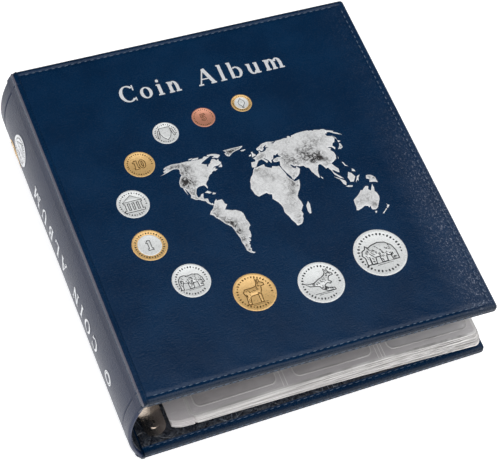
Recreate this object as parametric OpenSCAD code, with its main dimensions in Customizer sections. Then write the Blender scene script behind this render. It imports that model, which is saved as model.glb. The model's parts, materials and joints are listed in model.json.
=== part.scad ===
// Coin album: a padded leatherette ring binder that lies closed on its back cover.
// X runs from the spine to the fore-edge, Y from the tail to the head, Z up.
// The origin is the middle of the whole object's footprint, at the face it rests on.

/* [Covers] */
// Height of both covers, from the tail to the head
cover_h = 230; // [210:1:250]
// Reach of the back cover, from its hinge to the fore-edge
cover_w = 210; // [205:1:220]
// Thickness of a padded cover
cover_t = 5.2; // [5:0.1:6]
// Slope of the closed front cover, down towards the fore-edge
front_slope = 3.74; // [3:0.01:4.2]
// Radius of the covers' outer corners
corner_r = 3; // [2:0.5:6]

/* [Spine] */
// Distance between the two hinge lines
hinge_gap = 61; // [58:0.5:61]
// How far the spine's outside bulges past the back hinge line
spine_bulge = 8; // [7:0.25:9]
// Radius of the round bead along each hinge line
bead_r = 1.5; // [1.2:0.1:1.6]

/* [Layers] */
// Thickness of the leatherette skin
skin_t = 0.8; // [0.6:0.1:1]
// Thickness of the cover board
board_t = 2.4; // [2:0.1:2.6]
// Width of the skin turned in around each inside face
turn_in = 10; // [8:1:14]

/* [Rings] */
// Radius of a closed ring, to the middle of its wire
ring_r = 12; // [11.8:0.1:12.2]
// Diameter of the ring wire
wire_d = 2.6; // [2.2:0.1:2.8]
// Distance of the ring centres from the back hinge line
ring_x = 13; // [12.5:0.1:13.5]
// Spacing of the middle two rings
ring_mid = 65; // [60:1:70]
// Spacing of an outer ring from its neighbour
ring_outer = 45; // [40:1:48]

/* [Pocket sheets] */
// Width of a sheet, from its binding edge to the fore-edge
sheet_w = 191; // [180:1:191]
// Height of a sheet
sheet_h = 222; // [205:1:224]
// Diameter of a ring hole in a sheet
hole_d = 6.4; // [6:0.1:6.6]

/* [Hidden] */
$fn = 48;

navy = [0.05, 0.13, 0.27];
navy_dark = [0.03, 0.06, 0.13];
spine_grey = [0.24, 0.27, 0.36];
thread_blue = [0.42, 0.49, 0.60];
foam_grey = [0.80, 0.80, 0.78];
board_grey = [0.55, 0.52, 0.47];
nickel = [0.78, 0.78, 0.77];
silver = [0.82, 0.83, 0.84];
gold = [0.84, 0.68, 0.38];
copper = [0.75, 0.50, 0.40];
film_grey = [0.72, 0.70, 0.71, 0.6];

foil_t = 0.25;

// hinge lines: the back one is at x = 0 here, and hinge_x is its place in the object's frame
hinge_x = -(cover_w - spine_bulge - foil_t) / 2;
back_hinge = [0, cover_t / 2];
front_hinge = [0.45, back_hinge[1] + hinge_gap];
edge_gap = 1.9;                         // from a hinge line to the cover's own edge
front_end = cover_w - 0.2;              // the front cover's end, along its slope
foam_t = cover_t - board_t - 2 * skin_t;

// spine: an arc through the bulge and through a point just outside the back hinge bead
spine_mid = (back_hinge[1] + front_hinge[1]) / 2;
spine_end = [-1.5, 4.4];
spine_chord = spine_mid - spine_end[1];
spine_sag = spine_bulge + spine_end[0];
spine_out_r = (spine_sag * spine_sag + spine_chord * spine_chord) / (2 * spine_sag);
spine_centre = [spine_out_r - spine_bulge, spine_mid];
spine_board_t = 1.6;
spine_liner_t = 0.4;
spine_in_r = spine_out_r - skin_t - spine_board_t - spine_liner_t;

// ring mechanism: it stands on the back cover's liner
plate_base = cover_t;
plate_half = 7;                         // half the width of the domed plate
plate_top = plate_base + 5.8;
plate_wall = 0.9;
plate_tail = 9;                         // from the cover's tail edge to the plate's end
tongue = 16;                            // length of each flat end of the plate
tongue_half = 6.5;
tongue_t = 1;
ring_z = plate_top + 11;
ring_ys = [
    cover_h / 2 - ring_mid / 2 - ring_outer, cover_h / 2 - ring_mid / 2,
    cover_h / 2 + ring_mid / 2, cover_h / 2 + ring_mid / 2 + ring_outer
];
rivet_ys = [plate_tail + 8, cover_h - plate_tail - 8];
rivet_r = 2;
rivet_hole_r = 2.1;
rivet_head_r = 4.5;
foot_angle = acos((ring_z - plate_top) / ring_r);   // where the wire meets the plate
foot_x = ring_r * sin(foot_angle);
blade_z = plate_base + 2;
blade_t = 0.9;

// pocket sheets: thin punched strip, then a wedge that holds the pockets
strip_w = 14;
strip_t = 0.45;
pocket_start_t = 0.9;
pocket_end_t = 1.6;
hole_u = 7.7;                           // from the binding edge to the ring holes
hole_shift = 0.5;                       // spare room for the rings as they open
sheet_tail = 2.5;
first_level = 20.2;                     // height of the lowest sheet at its ring holes
level_step = 1.1;
first_tilt = 4.05;
tilt_step = 0.29;

// Moves children from the hinge-line frame to the object's frame
module from_hinge() { translate([hinge_x, -cover_h / 2, 0]) children(); }

// Children are drawn in the front cover's own plane, measured from its hinge line
module front_plane() {
    from_hinge()
        translate([front_hinge[0], 0, front_hinge[1]])
            rotate([0, front_slope, 0]) children();
}

// Extrudes a profile of X and Z along Y
module along_y(from, length) {
    translate([0, from + length, 0]) rotate([90, 0, 0]) linear_extrude(length) children();
}

// A flat slab whose two fore-edge corners are round
module slab(from, to, inset, low, high, r) {
    translate([0, 0, low]) linear_extrude(high - low) {
        translate([from, inset]) square([to - from - r, cover_h - 2 * inset]);
        translate([from, inset + r]) square([to - from, cover_h - 2 * inset - 2 * r]);
        translate([to - r, inset + r]) circle(r);
        translate([to - r, cover_h - inset - r]) circle(r);
    }
}

// Leatherette envelope of one cover: outside, edges and turned-in rim.
// up is 1 where the outside faces up and -1 where it faces down.
module cover_skin(to, up) {
    low = -cover_t / 2;
    high = cover_t / 2;
    window_low = up > 0 ? low - 1 : high - skin_t;
    window_high = up > 0 ? low + skin_t : high + 1;
    difference() {
        slab(edge_gap, to, 0, low, high, corner_r);
        slab(edge_gap + skin_t, to - skin_t, skin_t, low + skin_t, high - skin_t, corner_r - skin_t);
        slab(edge_gap + turn_in, to - turn_in, turn_in, window_low, window_high, 1);
    }
}

module cover_foam(to, up) {
    outer = cover_t / 2 - skin_t;
    slab(edge_gap + skin_t, to - skin_t, skin_t,
         up > 0 ? outer - foam_t : -outer, up > 0 ? outer : foam_t - outer, corner_r - skin_t);
}

module cover_board(to, up) {
    inner = cover_t / 2 - skin_t;
    slab(edge_gap + skin_t, to - skin_t, skin_t,
         up > 0 ? -inner : inner - board_t, up > 0 ? board_t - inner : inner, corner_r - skin_t);
}

module cover_liner(to, up) {
    face = cover_t / 2;
    slab(edge_gap + turn_in, to - turn_in, turn_in,
         up > 0 ? -face : face - skin_t, up > 0 ? skin_t - face : face, 1);
}

// A row of thread along the head, the fore-edge and the tail, standing proud by height
module stitch_rows(to, z, height) {
    inset = 4;
    w = 0.6;
    translate([edge_gap + 2, inset, z]) cube([to - edge_gap - inset - 2, w, height]);
    translate([edge_gap + 2, cover_h - inset - w, z]) cube([to - edge_gap - inset - 2, w, height]);
    translate([to - inset - w, inset + w, z]) cube([w, cover_h - 2 * inset - 2 * w, height]);
}

module rivet_bores(low, high, r) {
    for (y = rivet_ys) translate([ring_x, y, low]) cylinder(h = high - low, r = r);
}

// ---- back cover ----

module back_skin() {
    color(navy) from_hinge() difference() {
        translate([0, 0, cover_t / 2]) cover_skin(cover_w, -1);
        rivet_bores(-1, skin_t + 0.5, rivet_head_r + 0.2);
        rivet_bores(cover_t / 2, cover_t + 1, rivet_hole_r);
    }
}

module back_foam() {
    color(foam_grey) from_hinge() difference() {
        translate([0, 0, cover_t / 2]) cover_foam(cover_w, -1);
        rivet_bores(0, cover_t, rivet_hole_r);
    }
}

module back_board() {
    color(board_grey) from_hinge() difference() {
        translate([0, 0, cover_t / 2]) cover_board(cover_w, -1);
        rivet_bores(0, cover_t, rivet_hole_r);
    }
}

module back_liner() {
    color(navy_dark) from_hinge() difference() {
        translate([0, 0, cover_t / 2]) cover_liner(cover_w, -1);
        rivet_bores(cover_t / 2, cover_t + 1, rivet_hole_r);
    }
}

module back_stitching() {
    color(thread_blue) from_hinge() stitch_rows(cover_w, cover_t, 0.3);
}

// ---- ring mechanism ----

// Half-ellipse dome over the blades, shrunk by inset for its hollow
module dome_profile(inset) {
    steps = 16;
    polygon([for (i = [0:steps]) [
        ring_x + (plate_half - inset) * cos(180 * i / steps),
        plate_base + (plate_top - plate_base - inset) * pow(sin(180 * i / steps), 0.7)
    ]]);
}

module ring_plate() {
    dome_tail = plate_tail + tongue;
    dome_length = cover_h - 2 * dome_tail;
    color(nickel) from_hinge() difference() {
        union() {
            difference() {
                along_y(dome_tail, dome_length) dome_profile(0);
                along_y(dome_tail + plate_wall, dome_length - 2 * plate_wall)
                    dome_profile(plate_wall);
            }
            for (y = [plate_tail + tongue_half, cover_h - plate_tail - tongue_half])
                translate([ring_x, y, plate_base]) cylinder(h = tongue_t, r = tongue_half);
            for (y = [plate_tail + tongue_half, cover_h - dome_tail - 2])
                translate([ring_x - tongue_half, y, plate_base])
                    cube([2 * tongue_half, tongue - tongue_half + 2, tongue_t]);
        }
        rivet_bores(plate_base - 1, plate_base + 3, rivet_hole_r);
        for (y = ring_ys, side = [-1, 1])
            translate([ring_x + side * foot_x, y, plate_base + 4])
                cube([wire_d + 1.4, wire_d + 1, 8], center = true);
    }
}

// Tubular rivets: a flat head sunk in the back cover's outside, and a rolled end on the plate
module plate_rivets() {
    head_low = 0.3;
    roll_t = 0.8;
    end = plate_base + tongue_t;
    color(nickel) from_hinge() for (y = rivet_ys) translate([ring_x, y, 0]) difference() {
        union() {
            translate([0, 0, head_low]) cylinder(h = skin_t - head_low, r = rivet_head_r);
            translate([0, 0, head_low]) cylinder(h = end - head_low, r = rivet_r);
            translate([0, 0, end]) cylinder(h = roll_t, r = rivet_r + 1.4);
        }
        translate([0, 0, 2]) cylinder(h = end, r = rivet_r - 0.8);
    }
}

// Wire of one half ring, from the split at the top to its foot inside the plate.
// side is 1 for the fore-edge half and -1 for the spine half.
module half_ring(side) {
    gap = 0.06;
    wire_r = wire_d / 2;
    sweep = 90 + 90 - foot_angle - gap;
    translate([ring_x, 0, ring_z]) mirror([side < 0 ? 1 : 0, 0, 0]) {
        rotate([90, 0, 0]) rotate([0, 0, foot_angle - 90])
            rotate_extrude(angle = sweep) translate([ring_r, 0]) circle(wire_r);
        translate([foot_x, 0, plate_top - ring_z]) sphere(wire_r);
        translate([foot_x, 0, blade_z + blade_t - ring_z])
            cylinder(h = plate_top - blade_z - blade_t, r = wire_r);
    }
}

// A flat steel strip under the dome, which carries four half rings
module blade(side) {
    inner = 0.35;
    outer = plate_half - 1.9;
    translate([side > 0 ? ring_x + inner : ring_x - outer, plate_tail + tongue + 1.5, blade_z])
        cube([outer - inner, cover_h - 2 * (plate_tail + tongue + 1.5), blade_t]);
}

module right_blade() { color(nickel) from_hinge() blade(1); }
module left_blade() { color(nickel) from_hinge() blade(-1); }

module right_half_rings() {
    color(nickel) from_hinge() for (y = ring_ys) translate([0, y, 0]) half_ring(1);
}

module left_half_rings() {
    color(nickel) from_hinge() for (y = ring_ys) translate([0, y, 0]) half_ring(-1);
}

// ---- spine ----

// One layer of the curved spine between two radii, clear of the two hinge beads
module spine_layer(outer_r, inner_r) {
    along_y(0, cover_h) difference() {
        intersection() {
            translate(spine_centre) difference() {
                circle(outer_r, $fn = 240);
                circle(inner_r, $fn = 240);
            }
            translate([-spine_bulge - 1, 3.1]) square([spine_bulge + 2.4, hinge_gap - 1]);
        }
        translate(back_hinge) circle(bead_r);
        translate(front_hinge) circle(bead_r);
    }
}

module spine_skin() {
    color(spine_grey) from_hinge() spine_layer(spine_out_r, spine_out_r - skin_t);
}

module spine_board() {
    color(board_grey) from_hinge()
        spine_layer(spine_out_r - skin_t, spine_in_r + spine_liner_t);
}

module spine_liner() {
    color(navy_dark) from_hinge() spine_layer(spine_in_r + spine_liner_t, spine_in_r);
}

module hinge_bead(at) {
    along_y(0, cover_h) translate(at) circle(bead_r);
}

module back_hinge_bead() { color(navy) from_hinge() hinge_bead(back_hinge); }
module front_hinge_bead() { color(navy) from_hinge() hinge_bead(front_hinge); }

// A printed badge and a column of letter blocks down the spine, as thin curved foil
module spine_foil() {
    mark_r = 9;
    letter_h = 7;
    color(silver) from_hinge() intersection() {
        along_y(0, cover_h) translate(spine_centre) difference() {
            circle(spine_out_r + foil_t, $fn = 240);
            circle(spine_out_r, $fn = 240);
        }
        union() {
            translate([-spine_bulge - 5, cover_h - 38, spine_mid + 7]) rotate([0, 90, 0])
                cylinder(h = 12, r = mark_r);
            for (i = [0:4]) {
                translate([-spine_bulge - 5, 158 - i * 11, spine_mid + 2.5])
                    cube([12, 8, letter_h]);
                translate([-spine_bulge - 5, 96 - i * 11, spine_mid + 2.5])
                    cube([12, 8, letter_h]);
            }
        }
    }
}

// ---- front cover ----

module front_skin() { color(navy) front_plane() cover_skin(front_end, 1); }
module front_foam() { color(foam_grey) front_plane() cover_foam(front_end, 1); }
module front_board() { color(board_grey) front_plane() cover_board(front_end, 1); }
module front_liner() { color(navy_dark) front_plane() cover_liner(front_end, 1); }

module front_stitching() {
    color(thread_blue) front_plane() stitch_rows(front_end, cover_t / 2, foil_t);
}

// Foil print on the outside of the front cover; x is from the hinge line, y from the tail
module foil() {
    front_plane() translate([0, 0, cover_t / 2]) linear_extrude(foil_t) children();
}

// Outlines of the continents on the printed map, in degrees of longitude and latitude
north_america = [
    [-165, 66], [-160, 58], [-135, 58], [-124, 47], [-120, 34], [-107, 22], [-95, 16],
    [-74, 9], [-82, 15], [-90, 21], [-97, 26], [-82, 27], [-78, 35], [-70, 43],
    [-58, 50], [-78, 60], [-90, 68], [-125, 70]
];
greenland = [[-45, 60], [-22, 70], [-18, 81], [-60, 82], [-55, 70]];
south_america = [
    [-70, 8], [-60, 10], [-52, 1], [-38, -7], [-43, -22], [-57, -35], [-72, -54],
    [-75, -45], [-67, -20], [-72, -5]
];
africa = [
    [-16, 14], [-9, 31], [10, 37], [32, 31], [43, 12], [51, 11], [40, -3],
    [40, -16], [32, -28], [20, -34], [12, -17], [9, 4], [-7, 5]
];
eurasia = [
    [-9, 38], [3, 43], [14, 41], [26, 38], [36, 36], [35, 29], [44, 13], [58, 20],
    [66, 25], [77, 8], [88, 22], [100, 14], [103, 2], [109, 12], [121, 31], [129, 38],
    [142, 52], [152, 56], [150, 68], [135, 73], [105, 77], [70, 72], [40, 67],
    [20, 70], [6, 61], [9, 54], [-2, 48]
];
australia = [
    [114, -22], [130, -12], [136, -15], [142, -11], [153, -27], [148, -38],
    [137, -34], [117, -35]
];
islands = [
    [[-6, 50], [1, 52], [-5, 58]], [[131, 32], [141, 36], [142, 44]],
    [[110, -2], [117, -3], [118, 6]], [[132, -2], [150, -9], [139, -8]],
    [[44, -24], [50, -15], [47, -25]], [[158, -46], [169, -38], [163, -40]]
];
map_mid = [109, 104.5];                 // where the equator meets the prime meridian
map_scale = [0.49, 0.65];               // millimetres a degree
mid_longitude = 43;                     // the meridian that is drawn straight

// Longitude and latitude to a place on the cover, with the meridians closing up polewards
function on_map(p) = [
    map_mid[0] + map_scale[0] * (mid_longitude
        + (p[0] - mid_longitude) * (1 - 0.4 * pow(abs(p[1]) / 90, 0.6))),
    map_mid[1] + map_scale[1] * p[1] * (1 - 0.3 * pow(p[1] / 90, 2))
];

module land(points) { polygon([for (p = points) on_map(p)]); }

module map_foil() {
    color(silver) foil() {
        for (shape = [north_america, greenland, south_america, africa, eurasia, australia])
            land(shape);
        for (shape = islands) land(shape);
    }
}

// Blocks of the two words of the title, one block a letter
module title_foil() {
    color(silver) foil() for (word = [[62, 4], [96, 5]], i = [0:word[1] - 1])
        translate([word[0] + i * 7.6, 188]) square([6, 9]);
}

// Coins printed on the cover: place and radius
silver_coin_list = [[71, 164, 7.6], [37, 122, 9.4], [51, 65.5, 10.9], [120, 43.5, 13.3], [160, 52.5, 15.5]];
gold_coin_list = [[49.5, 147, 8.8], [82, 48.5, 12.2]];
two_metal_list = [[121.5, 172, 6.2], [36.5, 94, 10.1]];
copper_coin_at = [96.5, 168.5, 6.9];
core_share = 0.68;

module disc(c) { translate([c[0], c[1]]) circle(c[2]); }
module core(c) { translate([c[0], c[1]]) circle(c[2] * core_share); }

module silver_coins() {
    color(silver) foil() {
        for (c = silver_coin_list) disc(c);
        for (c = two_metal_list) core(c);
    }
}

module gold_coins() {
    color(gold) foil() {
        for (c = gold_coin_list) disc(c);
        for (c = two_metal_list) difference() {
            disc(c);
            core(c);
        }
    }
}

module copper_coin() { color(copper) foil() disc(copper_coin_at); }

// ---- pocket sheets ----

// Sheet number i, counted from the back cover: each lies in its own plane on the rings
module sheet(i) {
    level = first_level + i * level_step;
    rise = level - ring_z;
    hole_x = ring_x + sqrt(ring_r * ring_r - rise * rise) + hole_shift;
    color(film_grey) from_hinge()
        translate([hole_x, 0, level]) rotate([0, first_tilt - i * tilt_step, 0])
            translate([-hole_u, 0, 0]) difference() {
                along_y(sheet_tail, sheet_h) polygon([
                    [0, -strip_t / 2], [strip_w, -strip_t / 2],
                    [strip_w + 1, -pocket_start_t / 2], [sheet_w, -pocket_end_t / 2],
                    [sheet_w, pocket_end_t / 2], [strip_w + 1, pocket_start_t / 2],
                    [strip_w, strip_t / 2], [0, strip_t / 2]
                ]);
                for (y = ring_ys) translate([hole_u, y, -1]) cylinder(h = 2, d = hole_d);
            }
}

back_skin();
back_foam();
back_board();
back_liner();
back_stitching();
ring_plate();
plate_rivets();
spine_skin();
spine_board();
spine_liner();
spine_foil();
back_hinge_bead();
front_hinge_bead();
front_skin();
front_foam();
front_board();
front_liner();
front_stitching();
map_foil();
title_foil();
silver_coins();
gold_coins();
copper_coin();
right_blade();
right_half_rings();
left_blade();
left_half_rings();
sheet(0);  // sheet_1
sheet(1);  // sheet_2
sheet(2);  // sheet_3
sheet(3);  // sheet_4
sheet(4);  // sheet_5
sheet(5);  // sheet_6
sheet(6);  // sheet_7
sheet(7);  // sheet_8
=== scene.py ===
import json
import math
import random

import bmesh
import bpy
import numpy as np
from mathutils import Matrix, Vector, noise
from mathutils.geometry import delaunay_2d_cdt


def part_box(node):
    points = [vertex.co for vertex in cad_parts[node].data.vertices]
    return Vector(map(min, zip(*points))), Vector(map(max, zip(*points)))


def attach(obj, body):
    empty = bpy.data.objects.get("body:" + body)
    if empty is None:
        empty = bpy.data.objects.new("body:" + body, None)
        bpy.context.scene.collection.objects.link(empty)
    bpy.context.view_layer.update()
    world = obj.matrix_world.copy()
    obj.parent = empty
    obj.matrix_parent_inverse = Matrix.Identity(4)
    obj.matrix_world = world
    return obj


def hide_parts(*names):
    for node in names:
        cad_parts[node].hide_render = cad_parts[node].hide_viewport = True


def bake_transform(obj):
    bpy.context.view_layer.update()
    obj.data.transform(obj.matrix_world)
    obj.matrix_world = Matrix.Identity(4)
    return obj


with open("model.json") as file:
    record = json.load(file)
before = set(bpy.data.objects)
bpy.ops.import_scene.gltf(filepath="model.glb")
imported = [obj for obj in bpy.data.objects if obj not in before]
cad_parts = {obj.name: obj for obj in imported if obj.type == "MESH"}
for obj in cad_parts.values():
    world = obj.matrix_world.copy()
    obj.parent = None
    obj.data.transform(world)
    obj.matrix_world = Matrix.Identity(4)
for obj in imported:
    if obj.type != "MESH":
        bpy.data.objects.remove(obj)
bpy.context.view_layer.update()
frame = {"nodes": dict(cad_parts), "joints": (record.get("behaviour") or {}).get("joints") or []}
rng = random.Random(11)

# ---------------------------------------------------------------- places
# Sizes are in millimetres, except in the sections on materials, floor, light and camera, which are in
# metres. Two rulers are used: the case ruler starts at the back hinge line
# (x to the fore-edge, y from the tail, z up) and the front ruler lies in the front cover's plane.
joints = {j["name"]: j for j in frame["joints"]}
back_hinge = Vector(joints["back_hinge"]["pos_m"])
front_hinge = Vector(joints["front_hinge"]["pos_m"])
low_corner, high_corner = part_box("back_skin")
tail = low_corner.y
cover_h = (high_corner.y - low_corner.y) * 1000
cover_end = (high_corner.x - back_hinge.x) * 1000
half_t = back_hinge.z * 1000
slope = math.radians(3.74)
front_x = (front_hinge.x - back_hinge.x) * 1000
front_z = front_hinge.z * 1000
front_end = cover_end - 0.2


def case(x, y, z):
    return Vector((back_hinge.x + x / 1000, tail + y / 1000, z / 1000))


def front(u, v, w):
    return case(front_x + u * math.cos(slope) + w * math.sin(slope), v,
                front_z - u * math.sin(slope) + w * math.cos(slope))


def back(u, v, w):
    return case(u, v, half_t - w)


# ---------------------------------------------------------------- materials
class Look:
    """A procedural material on one shader, with its texture coordinates in metres on the piece."""

    def __init__(self, name, color, roughness, metallic=0.0, alpha=1.0, specular=0.5):
        self.mat = bpy.data.materials.new(name)
        self.mat.use_nodes = True
        self.tree = self.mat.node_tree
        self.shader = self.tree.nodes["Principled BSDF"]
        self.put("Base Color", (*color, 1))
        self.put("Roughness", roughness)
        self.put("Metallic", metallic)
        self.put("Alpha", alpha)
        self.put("Specular IOR Level", specular)
        self.place = self.tree.nodes.new("ShaderNodeTexCoord").outputs["Object"]

    def put(self, socket, value):
        self.shader.inputs[socket].default_value = value

    def feed(self, node, key, value):
        """Sets one input of a node, by a link where the value comes from another node."""
        if isinstance(value, bpy.types.NodeSocket):
            self.tree.links.new(value, node.inputs[key])
        else:
            node.inputs[key].default_value = value

    def node(self, kind, **inputs):
        n = self.tree.nodes.new("ShaderNode" + kind)
        for key, value in inputs.items():
            self.feed(n, key, value)
        return n

    def to(self, socket, output):
        self.tree.links.new(output, self.shader.inputs[socket])

    def stretched(self, sx, sy, sz):
        n = self.node("Mapping", Vector=self.place, Scale=(sx, sy, sz))
        return n.outputs["Vector"]

    def noise(self, scale, detail=2.0, rough=0.5, place=None, distortion=0.0):
        n = self.node("TexNoise", Vector=place or self.place, Scale=scale, Detail=detail,
                      Roughness=rough, Distortion=distortion)
        return n.outputs["Fac"]

    def cells(self, scale, feature="F1", place=None):
        n = self.node("TexVoronoi", Vector=place or self.place, Scale=scale)
        n.feature = feature
        return n.outputs["Distance"]

    def span(self, value, low, high, to_low, to_high):
        n = self.tree.nodes.new("ShaderNodeMapRange")
        for i, v in enumerate((value, low, high, to_low, to_high)):
            self.feed(n, i, v)
        return n.outputs["Result"]

    def math(self, operation, a, b=0.0):
        n = self.tree.nodes.new("ShaderNodeMath")
        n.operation = operation
        for i, v in enumerate((a, b)):
            self.feed(n, i, v)
        return n.outputs["Value"]

    def blend_color(self, factor, first, second):
        n = self.tree.nodes.new("ShaderNodeMix")
        n.data_type = "RGBA"
        self.feed(n, 0, factor)
        for i, v in ((6, first), (7, second)):
            self.feed(n, i, v if isinstance(v, bpy.types.NodeSocket) else (*v, 1))
        return n.outputs[2]

    def split(self, axis):
        return self.node("SeparateXYZ", Vector=self.place).outputs[axis]

    def attribute(self, name):
        n = self.tree.nodes.new("ShaderNodeAttribute")
        n.attribute_name = name
        return n.outputs["Fac"]

    def bump(self, height, strength, distance, under=None):
        n = self.node("Bump", Height=height, Strength=strength, Distance=distance)
        if under is not None:
            self.tree.links.new(under, n.inputs["Normal"])
        return n.outputs["Normal"]


# In metres on the piece: where a painted highlight of sparkling reflected light lies on the front cover's
# skin, and where painted shade darkens both covers at head and tail
painted_glint_x = (0.083, 0.101)
painted_glint_y = (-0.04, 0.04)
painted_glint_z = (0.045, 0.047)
painted_shade_rim_y = (0.1118, 0.1146)


# The flag after specular adds a painted sparkle of reflected light on the front cover's top face, and painted
# shade at head and tail.
def leatherette(name, deep, light, low_rough, high_rough, grain=0.5, specular=0.18, painted_light=False):
    look = Look(name, deep, low_rough, specular=specular)
    mottled = look.noise(28, 3, 0.6)
    pebbles = look.cells(1250, "SMOOTH_F1")
    fine = look.noise(2600, 2, 0.6)
    creases = look.noise(420, 3, 0.65, distortion=0.6)
    tiny = look.span(look.noise(1500, 2, 0.6, place=look.stretched(1.0, 1.8, 1.0)), 0.3, 0.7, -0.3, 0.3)
    color = look.blend_color(look.math("ADD", look.span(mottled, 0.3, 0.75, 0, 1), tiny), deep, light)
    if painted_light:
        # Painted highlight: lighter flecks over one patch of the front cover's top face stand in for sparkle
        # of reflected light.
        across = look.span(look.split("X"), *painted_glint_x, 0, 1)
        along = look.span(look.split("Y"), *painted_glint_y, 1, 0.12)
        painted_glint_flecks = look.span(look.noise(1100, 3, 0.75, place=look.stretched(1.0, 0.7, 1.0)), 0.55, 0.72, 0, 1)
        haze = look.math("MULTIPLY", look.math("MULTIPLY", across, along),
                         look.span(look.split("Z"), *painted_glint_z, 0, 1))
        color = look.blend_color(look.math("MULTIPLY", haze, look.math("ADD", painted_glint_flecks, 0.05)), color,
                                 (0.30, 0.33, 0.42))
        # Painted shade: the skin's colour darkens towards the head and tail edges.
        rim = look.span(look.math("ABSOLUTE", look.split("Y")), *painted_shade_rim_y, 0, 0.75)
        color = look.blend_color(rim, color, (0.006, 0.012, 0.022))
    look.to("Base Color", color)
    rough = look.math("ADD", look.span(pebbles, 0.1, 0.8, low_rough, high_rough),
                      look.span(mottled, 0.3, 0.7, -0.03, 0.03))
    look.to("Roughness", rough)
    soft = look.bump(look.noise(16, 2, 0.5), 0.25, 0.002)
    worn = look.bump(creases, 0.35 * grain, 0.0003, soft)
    pores = look.bump(look.math("ADD", pebbles, look.math("MULTIPLY", fine, 0.45)), grain, 0.00022, worn)
    look.to("Normal", pores)
    return look


def foil(name, tone, dark, low_rough, high_rough, relief=None, metallic=1.0):
    look = Look(name, tone, low_rough, metallic=metallic)
    speckle = look.noise(900, 3, 0.6)
    streaks = look.noise(150, 4, 0.6, distortion=0.8)
    shade = look.span(streaks, 0.45, 0.70, 0.0, 0.16)
    # Painted shade: where the relief attribute is high, the colour darkens towards the dark tone, standing in
    # for shaded slopes of the raised land.
    if relief is not None:
        high = look.attribute(relief)
        painted_hill_shade = look.math("MULTIPLY",
                           look.span(look.noise(360, 5, 0.75, distortion=1.4), 0.42, 0.60, 0.15, 1.2), high)
        shade = look.math("ADD", shade, painted_hill_shade)
    look.to("Base Color", look.blend_color(look.span(shade, 0, 1, 0, 1), tone, dark))
    look.to("Roughness", look.span(speckle, 0.3, 0.7, low_rough, high_rough))
    broad = look.bump(streaks, 0.35, 0.0005)
    look.to("Normal", look.bump(speckle, 0.12, 0.0002, broad))
    return look


def film(name, tone, pale, alpha, roughness, cloud, layered=False):
    look = Look(name, tone, roughness, alpha=alpha, specular=0.6)
    look.put("Coat Weight", 0.5)
    look.put("Coat Roughness", 0.08)
    haze = look.noise(38, 4, 0.6, place=look.stretched(0.7, 1.0, 1.0))
    ripples = look.noise(22, 2, 0.5, place=look.stretched(0.5, 1.6, 1.0), distortion=0.7)
    scuffs = look.noise(420, 3, 0.7, place=look.stretched(0.25, 1.0, 1.0))
    # Painted highlight: the film turns paler towards the fore-edge, standing in for light reflected there.
    painted_fore_edge_sheen = look.span(look.split("X"), 0.03, 0.10, 0.0, 0.7)
    color = look.blend_color(look.math("ADD", look.span(haze, 0.3, 0.7, 0, cloud * 0.6), painted_fore_edge_sheen), tone,
                             pale)
    if layered:
        lines = look.noise(1, 3, 0.6, place=look.stretched(7, 7, 1300))
        color = look.blend_color(look.span(lines, 0.38, 0.62, 0, 0.85), color, (0.29, 0.275, 0.27))
    look.to("Base Color", color)
    look.to("Roughness", look.span(scuffs, 0.35, 0.7, roughness, roughness + 0.16))
    look.to("Alpha", look.span(haze, 0.3, 0.7, alpha - 0.05, min(1.0, alpha + 0.08)))
    waves = look.bump(ripples, 0.4, 0.003)
    look.to("Normal", look.bump(scuffs, 0.12, 0.0002, waves))
    return look


navy = leatherette("navy_leatherette", (0.0002, 0.0172, 0.056), (0.0005, 0.0275, 0.084), 0.22, 0.33, 0.5,
                   0.26, painted_light=True)
# Painted sheen: the spine's copy of the navy leatherette is greyer, standing in for reflected light on the
# spine.
spine_skin = leatherette("spine_leatherette", (0.009, 0.018, 0.052), (0.015, 0.026, 0.070), 0.30, 0.42,
                         0.6, 0.26)
# Painted highlight: a light grey copy of the navy leatherette for the lit crest of the front hinge's ridge.
painted_highlight_ridge_skin = leatherette("ridge_leatherette_painted_highlight", (0.12, 0.12, 0.16), (0.17, 0.165, 0.20), 0.28, 0.40, 0.3, 0.6)

liner = Look("crinkled_liner", (0.006, 0.010, 0.022), 0.2, specular=0.6)
crinkle = liner.cells(120, "DISTANCE_TO_EDGE", place=liner.stretched(1.0, 0.8, 1.0))
folds = liner.noise(240, 5, 0.7, distortion=2.0)
flakes = liner.cells(420, "F1")
# Painted highlight: thin crinkle lines and the fold noise lighten the liner's colour where its crinkles would
# catch light.
hair = liner.span(liner.cells(210, "DISTANCE_TO_EDGE", place=liner.stretched(1.0, 0.45, 1.0)), 0.0, 0.035,
                  1, 0)
painted_crinkle_glints = liner.math("MULTIPLY", hair, liner.span(liner.noise(70, 3), 0.5, 0.64, 0, 1))
liner.to("Base Color", liner.blend_color(liner.math("ADD", liner.span(folds, 0.4, 0.7, 0, 0.3), painted_crinkle_glints),
                                         (0.004, 0.007, 0.016), (0.24, 0.28, 0.34)))
liner.to("Roughness", liner.span(flakes, 0.0, 0.9, 0.12, 0.34))
creased = liner.bump(liner.span(crinkle, 0.0, 0.09, 0, 1), 0.7, 0.0005)
liner.to("Normal",
         liner.bump(liner.math("ADD", folds, liner.math("MULTIPLY", flakes, 0.6)), 0.7, 0.0006, creased))

thread = Look("thread", (0.10, 0.15, 0.23), 0.6, specular=0.3)
twist = thread.node("TexWave", Vector=thread.stretched(1, 1, 1), Scale=1500.0,
                    Distortion=0.6).outputs["Fac"]
fuzz = thread.noise(3000, 2)
thread.to("Base Color", thread.blend_color(fuzz, (0.06, 0.10, 0.17), (0.20, 0.27, 0.37)))
thread.to("Normal", thread.bump(thread.math("ADD", twist, fuzz), 0.5, 0.0001))
thread.put("Sheen Weight", 0.2)
thread.put("Sheen Roughness", 0.4)

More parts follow.
